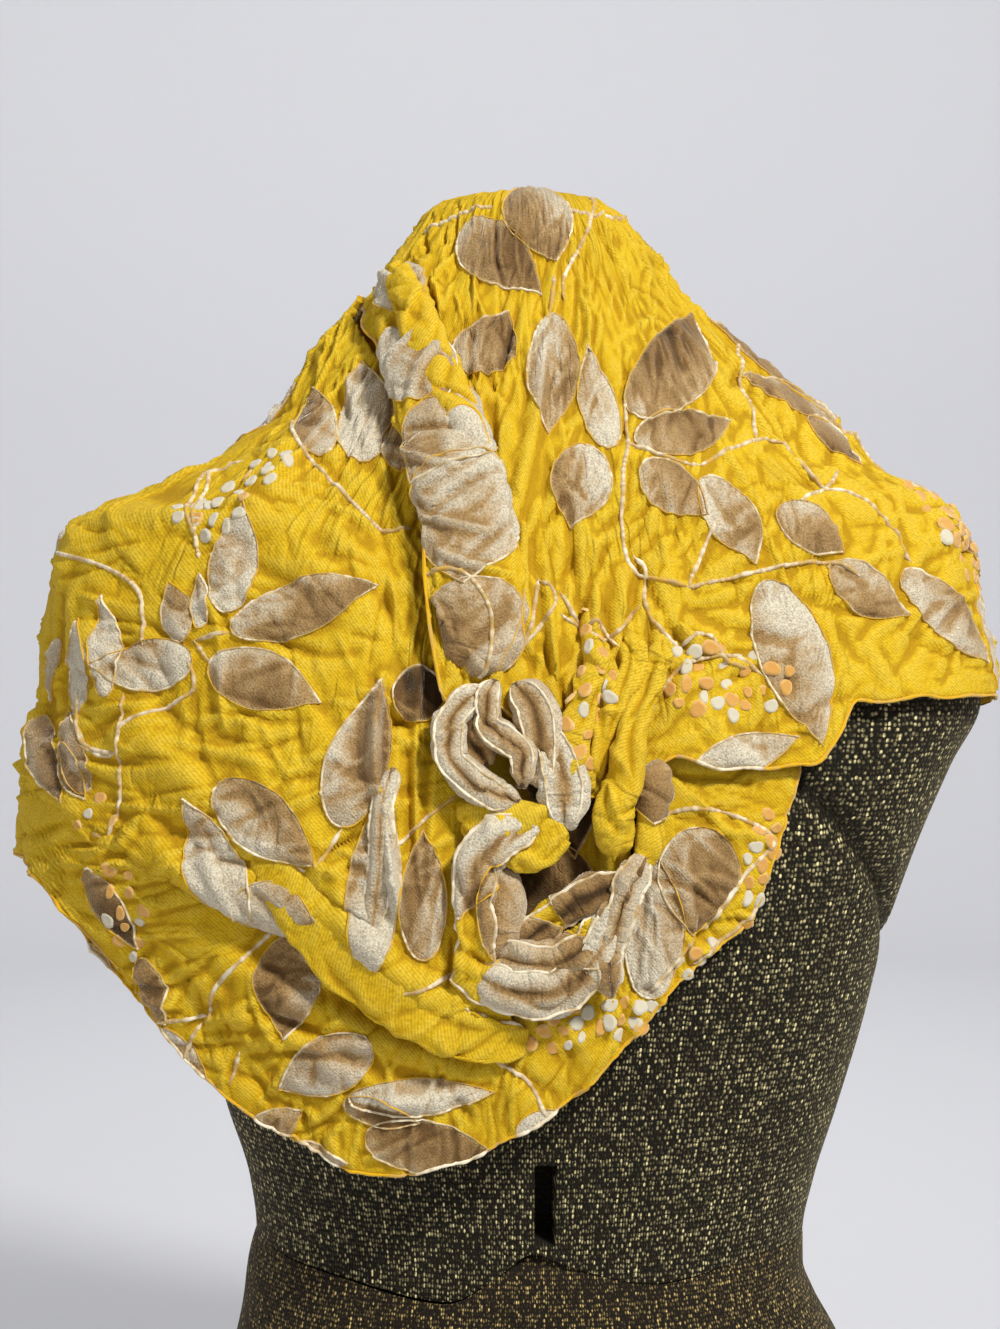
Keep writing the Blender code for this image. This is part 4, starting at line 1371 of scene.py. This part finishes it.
HEM_SWAG_FOLDS = (
    # from turn, height, to turn, height, sideways bow, half width, rise
    (140, 400, 100, 345, 6, 12, 4),
    (134, 370, 104, 328, 4, 10, 3),
    (150, 410, 128, 330, 5, 12, -3),
    (120, 395, 95, 362, 3, 9, -3),
    (210, 470, 208, 430, 2, 14, 3),
    (255, 470, 256, 430, 2, 16, 3),
    (135, 373, 125, 364, 1, 5, -2),
    (129, 361, 117, 359, 1, 6, 3),
    (122, 336, 97, 341, 2, 7, 2.5),
    (133, 392, 136, 349, 2, 7, 2),
    (123, 383, 109, 361, 2, 7, -3),
    (116, 352, 96, 340, 2, 6, -2),
    (139, 348, 125, 320, 2, 6, -2),
    (129, 333, 121, 306, 1, 6, 2),
    (108, 352, 100, 327, 1, 6, -2),
    (85, 357, 72, 378, 2, 6, 2),
    (72, 378, 60, 406, 2, 5, -2),
    (70, 449, 72, 394, 1, 5, -2.5),
    (65, 440, 63, 402, 1, 6, 2),
    (96, 353, 85, 336, 1, 6, -2),
)
HEM_SWAG_LEAVES = (
    # base turn, height, tip turn, height, width, brushing of the pile, painted as silver sheen (below 0, as
    # dark shade)
    (128, 402, 130, 360, 28, 0.05),
    (117, 359, 132, 338, 24, 0.55),
    (121, 336, 97, 339, 15, 0.95),
    (122, 334, 110, 327, 13, 0.1),
    (119, 320, 97, 312, 23, 0.05),
    (137, 307, 122, 309, 17, 0.6),
    (154, 428, 149, 394, 17, -0.3),
    (149, 390, 147, 362, 14, -0.1),
    (148, 360, 142, 334, 16, 0.3),
    (138, 314, 129, 329, 15, 0.15),
    (93, 321, 85, 331, 11, 0.8),
    (62, 449, 63, 402, 37, 0.1),
    (70, 377, 69, 437, 26, 0.7),
)
HEM_SWAG_STEMS = (
    # turn, height of the places that a stem goes through
    ((131, 404), (135, 392), (139, 379), (141, 364)),
    ((96, 361), (97, 353), (91, 343), (88, 329)),
    ((149, 362), (141, 367)),
    ((137, 353), (139, 339)),
    ((142, 364), (145, 346), (143, 324)),
    ((69, 440), (69, 452), (64, 457), (58, 455), (52, 447), (51, 440), (55, 428), (61, 404)),
    ((63, 401), (70, 380)),
    ((63, 390), (56, 404), (52, 415)),
)
HEM_SWAG_BERRIES = (
    # turn, height, half spread in degrees, in mm, how many, share of white ones
    (149.5, 412, 2.6, 22, 26, 0.15),
    (51, 425, 4, 30, 44, 0.35),
    (87, 366, 9, 10, 40, 0.2),
    (60, 388, 6, 12, 20, 0.5),
    (73, 368, 6, 9, 20, 0.5),
)
HEM_SWAG_SPRAYS = (
    # turn, height, heading (90 is up), length
    (190, 445, 10, 90),
    (238, 450, 5, 90),
)
swag_x, swag_y, swag_lift = stretch_chart(
    HEM_SWAG_RIBS,
    np.interp(np.linspace(0, 1, 330), (0, 0.78, 1), (0, 11 / 17, 1)),
    np.linspace(0, 1, 76),
)
# On the left the swag and the cowl are one cloth, so the swag comes up flush with the cowl.
COWL_FOOT = (
    # turn, height of the cowl's lower edge
    (125, 402),
    (133, 408),
    (145, 430),
    (160, 452),
    (185, 462),
    (215, 460),
    (245, 458),
    (275, 466),
    (302, 482),
)
cowl_foot = np.interp(swag_x, *np.transpose(COWL_FOOT))
flush = np.clip((cowl_foot + 12 - swag_y) / 10, 0, 1) * np.clip((swag_x - 134) / 10, 0, 1)
swag_lift = swag_lift + np.maximum(-0.9 - swag_lift, 0) * flush
swag_foot = np.linspace(0, 1, 76)[None, :] ** 4
swag_y = swag_y + swag_foot * (2.0 * grain(swag_x * MM_PER_DEGREE / 19, 0.5 + 0 * swag_y, 31))
swag_lift = swag_lift + swag_foot * (2.4 * grain(swag_x * MM_PER_DEGREE / 27, 0.5 + 0 * swag_y, 32))
swag, swag_trim = settle(
    "scarf_hem_swag_cloth",
    (swag_x, swag_y),
    lifted(swag_x, swag_y, swag_lift),
    {
        "leaves": HEM_SWAG_LEAVES,
        "stems": HEM_SWAG_STEMS,
        "berries": HEM_SWAG_BERRIES,
        "sprays": HEM_SWAG_SPRAYS,
        "folds": HEM_SWAG_FOLDS,
        "hems": ("foot",),
    },
    {**ON_DRAPE, "seed": 11},
)
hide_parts("scarf_hem_swag")


# ---- Under layer of the scarf ----
# The second thickness of the same velvet, a turn that lies further in: on the left its hem
# shows a little below and behind the swag, with one berry cluster.

UNDER_LAYER_RIBS = (
    # turn, height and lift at the upper edge, the same at the lower edge, rise of the middle
    (128, 340, -8, 129, 309, -6, 0),
    (140, 366, -9, 139, 327, -6, 0),
    (152, 400, -11, 148, 352, -6, 1),
    (163, 436, -13, 157, 388, -6, 1),
    (178, 452, -13, 168, 418, -6, 1),
    (198, 454, -11, 195, 418, -6.7, 1),
    (220, 450, -10, 220, 414, -6.7, 1),
)
UNDER_LAYER_FOLDS = (
    # from turn, height, to turn, height, sideways bow, half width, rise
    (150, 392, 146, 356, 1, 7, 2.5),
    (162, 430, 155, 392, 1, 7, -2),
    (172, 450, 166, 424, 1, 8, 2.5),
    (190, 450, 188, 425, 1, 8, -2),
)
UNDER_LAYER_LEAVES = (
    # base turn, height, tip turn, height, width, brushing of the pile, painted as silver sheen (below 0, as
    # dark shade)
    (164, 440, 157, 406, 15, 0.1),
    (158, 392, 155, 366, 12, 0.1),
    (170, 460, 162, 439, 14, 0.2),
    (148, 366, 141, 340, 13, 0.4),
)
UNDER_LAYER_BERRIES = ((160, 415, 5, 16, 10, 0.1),)
under_x, under_y, under_lift = stretch_chart(
    UNDER_LAYER_RIBS, np.linspace(0, 1, 125), np.linspace(0, 1, 34)
)
under, under_trim = settle(
    "scarf_under_layer_cloth",
    (under_x, under_y),
    lifted(under_x, under_y, under_lift),
    {
        "leaves": UNDER_LAYER_LEAVES,
        "berries": UNDER_LAYER_BERRIES,
        "folds": UNDER_LAYER_FOLDS,
        "hems": ("foot",),
    },
    {**ON_DRAPE, "seed": 41, "crumpled": 0.8},
)
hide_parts("scarf_under_layer")


# ---- Throat of the scarf ----
# The velvet that goes down inside the ring, between the gather and the bust of the form. It is
# in shade, so its leaves are painted near black: painted shade.

THROAT_RIBS = (
    # turn, height and lift at the upper edge, the same at the lower edge, rise of the middle
    (110, 590, -14, 100, 590, -12, 0),
    (112, 540, -14, 98, 540, -12, 0),
    (112, 500, -14, 84, 496, -12, 0),
    (111, 460, -14, 74, 456, -14.5, 0),
    (108, 420, -14, 73, 420, -14.9, 0),
    (104, 396, -14.4, 78, 396, -14.8, 0),
)
THROAT_FOLDS = (
    # from turn, height, to turn, height, sideways bow, half width, rise
    (98, 480, 84, 400, 2, 8, -1.5),
    (94, 470, 80, 410, 2, 6, 1),
    (88, 460, 78, 420, 1, 6, -1.5),
)
THROAT_LEAVES = (
    # base turn, height, tip turn, height, width, brushing of the pile, painted as silver sheen (below 0, as
    # dark shade)
    (86, 520, 83, 436, 40, -0.7),
    (83, 440, 95, 398, 44, -0.7),
    (106, 460, 105, 400, 26, -0.5),
)
throat_x, throat_y, throat_lift = stretch_chart(
    THROAT_RIBS, np.linspace(0, 1, 90), np.linspace(0, 1, 46)
)
throat, throat_trim = settle(
    "scarf_throat_cloth",
    (throat_x, throat_y),
    lifted(throat_x, throat_y, throat_lift),
    {"leaves": THROAT_LEAVES, "folds": THROAT_FOLDS},
    {**ON_DRAPE, "seed": 53, "crumpled": 0.6},
)
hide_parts("scarf_throat")


# ---- Fold column of the scarf ----
# A wide pleat that stands up where the cowl is drawn over the shoulder stretch, and runs down
# from the left of the neck to the gather. Five leaves follow each other down it; beside its
# top the crepe is folded back over itself in a narrow strip.

FOLD_COLUMN = (
    # turn, height, lift, width, how far it stands up
    (146, 698, 5, 24, 5),
    (137, 680, 8, 27, 6),
    (129, 661, 10, 30, 7),
    (121, 644, 11, 33, 7),
    (115, 626, 11, 36, 7),
    (109, 604, 11, 39, 7),
    (104, 579, 11, 38, 7),
    (101, 553, 10, 37, 7),
    (99, 533, 10, 33, 7),
    (101, 512, 9, 26, 7),
)
FOLD_COLUMN_FOLDS = (
    # from mm along and across the roll, to the same, sideways bow, half width, rise
    (2, 8, 38, -12, 1, 4, 3.5),
    (20, -12, 52, 12, -1, 4, -3),
    (40, 4, 62, -10, 1, 4, -4),
    (58, -14, 68, 10, 1, 3, 3.5),
    (70, -10, 98, 8, 2, 4, 4),
    (80, 12, 106, 16, 1, 3, -3.5),
    (106, 10, 118, -14, 1, 3, -4),
    (112, 17, 134, 0, 1, 3, 3.5),
    (126, -16, 140, 14, -1, 3, 3),
    (140, -14, 153, 10, 2, 3, -4.5),
    (150, 15, 166, -6, 1, 3, 3.5),
    (160, -17, 178, 2, 1, 3, -3.5),
    (170, 10, 186, -10, 1, 3, 3.5),
    (196, -8, 230, 6, 1, 5, -3.5),
    (188, 15, 214, 8, 1, 3, 3),
)
FOLD_COLUMN_LEAVES = (
    # base in mm along and across the roll, tip in the same, width, brushing (painted as silver sheen; below
    # 0, as dark shade)
    (-4, 2, 46, -6, 24, 0.75),
    (48, 8, 100, -4, 34, 0.75),
    (98, -20, 134, 16, 38, 0.7),
    (128, -4, 186, 4, 48, 0.75),
    (184, 8, 238, -2, 40, 0.15),
    (190, -24, 244, -14, 22, 0.3),
)
FOLD_STRIP = (
    # turn, height, lift, width, how far it stands up
    (143, 697, 12, 12, 4),
    (135, 683, 14, 15, 5),
    (127, 668, 15, 17, 5),
    (121, 655, 15, 18, 5),
    (115, 641, 15, 18, 5),
    (109, 625, 14, 17, 5),
    (104, 611, 12, 13, 4),
    (101, 602, 10, 6, 3),
)
FOLD_COLUMN_STEMS = (((178, 20), (184, 2), (236, -6)),)
ROLL_SWEEP = 118.0       # degrees to either side of its crest that a roll of cloth goes round
FAR_END = (900, 0)       # mm along and across: creases in a roll run along it


def roll_chart(stations, steps, across, hollow):
    """A roll of cloth along stations on the drape, with a trough along it: chart in mm and points."""
    line = [(i, *station) for i, station in enumerate(stations)]
    u = np.linspace(0, len(line) - 1, steps)
    turn, at, lift, width, rise = np.moveaxis(smooth_columns(line, u), -1, 0)
    run = np.linspace(0, len(line), steps)
    to_end = np.clip(np.minimum(run, run[::-1]) / 0.55, 0, 1)
    round_end = np.sqrt(1 - (1 - to_end) ** 2)
    width = width * (0.35 + 0.65 * round_end) * (1 + 0.1 * grain(run * 1.4, at / 9, len(line)))
    lift = lift - (1.1 * rise) * (1 - round_end)
    middle = lifted(turn, at, lift)
    out = lifted(turn, at, lift + 1) - middle
    ahead = np.gradient(middle, axis=0)
    pace = np.linalg.norm(ahead, axis=-1)
    side = np.cross(ahead / pace[:, None], out)
    angle = np.radians(np.linspace(-ROLL_SWEEP, ROLL_SWEEP, across))[None, :]
    reach = width[:, None] / 2 * np.sin(angle)
    height = rise[:, None] * (np.cos(angle) - 1) - hollow * np.exp(-((angle / 0.45) ** 2))
    points = middle[:, None] + side[:, None] * reach[..., None] + out[:, None] * height[..., None]
    arc = np.linalg.norm(np.diff(points, axis=1), axis=-1).sum(axis=1)[:, None] / 2
    return (np.cumsum(pace)[:, None] + 0 * angle, arc * angle / angle.max()), points


def fold_roll(name, stations, steps, across, table, look):
    """A roll of cloth with its trims. In look, ridges are the pile lines along it, as shares of its
    half width, hollow is the depth in mm of the trough along it, and the groove's painted shade how much
    darker the pile is painted in that trough and at the roll's sides.
    """
    chart, points = roll_chart(stations, steps, across, look.get("hollow", 0))
    every = slice(2, -2, 6)
    ridges = [
        list(zip(chart[0][every, 0], chart[1][every, -1] * ridge)) for ridge in look.get("ridges", ())
    ]
    over = chart[1] / chart[1].max(axis=1, keepdims=True)
    # Painted shade: the pile is painted darker in the groove and at the outer edges, and a little lighter
    # between.
    groove, outer_edge = np.exp(-((over / 0.22) ** 2)), np.clip(np.abs(over) - 0.6, 0, 1)
    shade = look.get("painted_groove_shade", 0) * (0.25 - groove - outer_edge)
    look = {"pull": FAR_END, "shade": shade, **look}
    return settle(name, chart, points, {**table, "ridges": ridges}, look)


column, column_trim = fold_roll(
    "scarf_fold_column_cloth",
    FOLD_COLUMN,
    150,
    54,
    {"leaves": FOLD_COLUMN_LEAVES, "folds": FOLD_COLUMN_FOLDS, "stems": FOLD_COLUMN_STEMS},
    {"seed": 61, "crumpled": 0.7},
)
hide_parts("scarf_fold_column")

strip, strip_trim = fold_roll(
    "scarf_folded_back_strip",
    FOLD_STRIP,
    120,
    30,
    {"leaves": ((104, 2, 128, 0, 14, 0.95),), "hems": ("start",)},
    {"seed": 67, "crumpled": 1.0},
)


# ---- Cowl's standing folds of the scarf ----
# Two folds that stand up from the cowl: a broad yellow one of crepe slants along its foot to
# below the ring, and a narrow one with pile comes down to it, to the left of the ring.

COWL_FOLDS = (
    # name, flat size in metres, stations, leaves, ridges
    (
        "foot_band", (0.130, 0.028),
        ((132, 441, 4, 12, 3), (128, 427, 7, 20, 3), (124, 411, 8, 25, 3), (119, 393, 9, 25, 3),
         (112, 379, 9, 23, 3), (104, 368, 7, 21, 2), (97, 362, 3, 19, 1.5), (91, 360, -3, 16, 1)),
        (), (-0.8,),
    ),
    (
        "standing_fold", (0.080, 0.019),
        ((113, 472, 4, 4, 3), (114, 456, 7, 6, 4), (114, 436, 8, 6, 4), (115, 415, 7, 7, 4),
         (116, 397, 4, 5, 3)),
        ((-20, 0, 110, 0, 80, 0.55),), (-0.5, 0.6),
    ),
)
for number, (part, flat, stations, leaves, ridges) in enumerate(COWL_FOLDS):
    fold, fold_trim = fold_roll(
        "scarf_cowl_" + part,
        stations,
        120,
        28,
        {"leaves": leaves},
        {"seed": 63 + number, "crumpled": 0.6, "hollow": 0.8, "ridges": ridges, "painted_groove_shade": 0.5},
    )


# ---- Swirl of the scarf ----
# Below the column the velvet is twisted round on itself in three close rolls with cream edges.
# A flat patch lies between the outer two, and one leaf runs on down from them.

SWIRL_ROLLS = (
    # name, flat size in metres, brushing (painted as silver sheen), stations (turn, height, lift, width,
    # how far it stands up)
    (
        "outer", (0.090, 0.021), 0.6,
        ((99, 505, 7, 7, 3.2), (102, 499, 9, 10, 4), (104, 490, 9, 11, 4), (104, 480, 9, 11, 4),
         (101, 470, 9, 11, 4), (97, 464, 9, 10, 4), (93, 461, 7, 9, 3.2)),
    ),
    (
        "patch", (0.045, 0.020), 0.1,
        ((100, 499, 4, 12, 2.4), (101, 488, 6, 17, 2.4), (98, 477, 5, 14, 2.4)),
    ),
    (
        "middle", (0.080, 0.017), 0.3,
        ((97, 508, 8, 6, 3.2), (98, 501, 10, 8, 4), (98, 492, 10, 9, 4), (95, 485, 10, 9, 4),
         (92, 479, 10, 9, 4), (92, 468, 8, 7, 3.2)),
    ),
    (
        "inner", (0.058, 0.023), 0.2,
        ((93, 507, 6, 10, 2.4), (90, 497, 7, 15, 3), (89, 484, 7, 15, 3), (89, 468, 6, 11, 2.4)),
    ),
    (
        "leaf", (0.052, 0.026), 0.7,
        ((88, 489, 4, 12, 2.4), (86, 477, 6, 17, 2.4), (85, 465, 6, 17, 2.4), (85, 451, 4, 10, 1.6)),
    ),
)
for number, (part, flat, brushing_and_painted_light, stations) in enumerate(SWIRL_ROLLS):
    roll, roll_trim = fold_roll(
        "scarf_swirl_" + part,
        stations,
        100,
        24,
        {"leaves": ((-20, 0, 110, 0, 80, brushing_and_painted_light),)},
        {"seed": 71 + number, "crumpled": 0.9, "hollow": 1.8, "ridges": (-0.4, 0.45), "painted_groove_shade": 0.9},
    )
    if part == "outer":
        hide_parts("scarf_swirl")


# ---- Ring of the scarf ----
# Round the opening at the throat the cloth is rolled into a ring: velvet rolls that lie one on
# another, silver on the left and below, and crepe between them at the lower right.

RING_ROLLS = (
    # name, flat size, stations, leaves
    (
        "silver", (0.100, 0.033),
        ((90, 451, 6, 8, 4), (95, 446, 9, 14, 6), (99, 436, 10, 17, 7), (100, 420, 10, 17, 7),
         (100, 404, 9, 17, 7), (98, 388, 8, 13, 6), (95, 382, 6, 10, 5)),
        ((-6, 0, 56, 5, 44, 0.85), (22, -12, 78, -7, 16, 0.3)),
    ),
    (
        "lower", (0.095, 0.030),
        ((100, 393, 7, 10, 5), (94, 384, 9, 16, 7), (88, 383, 9, 17, 7), (83, 390, 9, 16, 7),
         (79, 403, 8, 14, 6), (76, 421, 5, 10, 5)),
        ((10, 0, 60, 3, 40, 0.6), (56, 3, 108, 0, 38, 0.75)),
    ),
    (
        "middle", (0.080, 0.024),
        ((97, 398, 3, 8, 4), (92, 396, 6, 12, 5), (87, 395, 7, 13, 6), (82, 402, 7, 13, 6),
         (79, 414, 6, 11, 5), (76, 426, 4, 8, 4)),
        ((4, 0, 52, 0, 36, 0.2), (58, 0, 90, 0, 26, -0.1)),
    ),
    (
        "upper", (0.060, 0.029),
        ((93, 401, 0, 9, 4), (88, 411, 3, 14, 5), (82, 421, 4, 14, 5), (75, 428, 3, 10, 4)),
        # its leaves are brushed dark: painted shade in the hollow of the ring
        ((-4, 0, 24, 5, 22, -0.3), (26, 0, 62, 0, 34, -0.35)),
    ),
    (
        "right", (0.066, 0.029),
        ((72, 438, 3, 7, 4), (75, 424, 7, 9, 5), (77, 408, 8, 10, 5), (78, 393, 8, 10, 5),
         (77, 380, 5, 8, 4)),
        ((-4, 0, 70, 0, 40, 0.4),),
    ),
)
for number, (part, flat, stations, leaves) in enumerate(RING_ROLLS):
    roll, roll_trim = fold_roll(
        "scarf_ring_" + part,
        stations,
        110,
        28,
        {"leaves": leaves},
        {"seed": 81 + number, "crumpled": 1.4, "hollow": 2.0, "ridges": (-0.5, 0.55), "painted_groove_shade": 0.8},
    )
    if part == "lower":
        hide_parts("scarf_ring_roll")


# ---- Tucked folds of the scarf ----
# Narrow folds that run down out of the gather into the middle of the ring: two with berries,
# a yellow one with a rounded end, and a brown band beside the right edge of the ring.

TUCKED_FOLDS = (
    # name, the piece of the model that it stands for, flat size, stations, what lies on it
    (
        "scarf_berry_fold", "scarf_tucked_fold_1", (0.065, 0.027),
        ((78, 521, 3, 8, 4), (80, 508, 6, 13, 5), (82, 492, 7, 16, 5), (84, 475, 6, 16, 5),
         (84, 459, 3, 11, 4)),
        {"berries": ((34, 0, 34, 8, 30, 0.1),), "hems": ("foot",)},
    ),
    (
        "scarf_second_berry_fold", None, (0.050, 0.020),
        ((80, 540, 1, 8, 4), (79, 526, 4, 11, 5), (77, 510, 5, 12, 5), (75, 492, 3, 9, 4)),
        {"berries": ((24, 0, 22, 5, 14, 0.2),), "hems": ("foot",)},
    ),
    (
        "scarf_yellow_fold", "scarf_tucked_fold_2", (0.095, 0.030),
        ((67, 527, 4, 8, 4), (70, 508, 7, 12, 6), (74, 486, 9, 13, 6), (75, 468, 9, 14, 7),
         (77, 452, 8, 16, 7), (77, 437, 5, 13, 5)),
        {"folds": ((10, 2, 70, -3, 2, 4, -3), (20, -6, 60, 5, 1, 3, 2.5)), "hems": ("top", "foot")},
    ),
    (
        "scarf_second_yellow_fold", None, (0.075, 0.020),
        ((72, 532, 2, 8, 4), (73, 516, 5, 10, 5), (76, 500, 6, 10, 5), (79, 482, 5, 9, 5),
         (80, 466, 2, 7, 4)),
        {"folds": ((10, 2, 50, -3, 1, 3, -2),)},
    ),
    (
        "scarf_brown_band", "scarf_tucked_fold_3", (0.055, 0.024),
        ((70, 476, -1, 8, 4), (70, 465, 3, 12, 5), (71, 449, 4, 12, 5), (72, 431, 1, 8, 4)),
        {"leaves": ((-4, 0, 30, 0, 40, 0.0),)},
    ),
    (
        "scarf_pointed_fold", None, (0.058, 0.031),
        ((103, 459, 3, 12, 4), (97, 450, 6, 24, 5), (90, 446, 7, 26, 5), (84, 444, 6, 10, 3)),
        {"folds": ((4, 8, 48, -4, 2, 5, -2.5), (16, -10, 44, 8, 2, 5, 2.5))},
    ),
    (
        "scarf_inner_piece", None, (0.045, 0.026),
        ((95, 433, 1, 10, 4), (95, 420, 4, 15, 5), (96, 407, 4, 15, 5), (96, 396, 1, 10, 4)),
        {"leaves": ((-4, 0, 46, 0, 44, 0.3),)},
    ),
)
for number, (part, node, flat, stations, table) in enumerate(TUCKED_FOLDS):
    roll, roll_trim = fold_roll(
        part, stations, 100, 26, table, {"seed": 91 + number, "crumpled": 0.9}
    )
    if node:
        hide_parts(node)
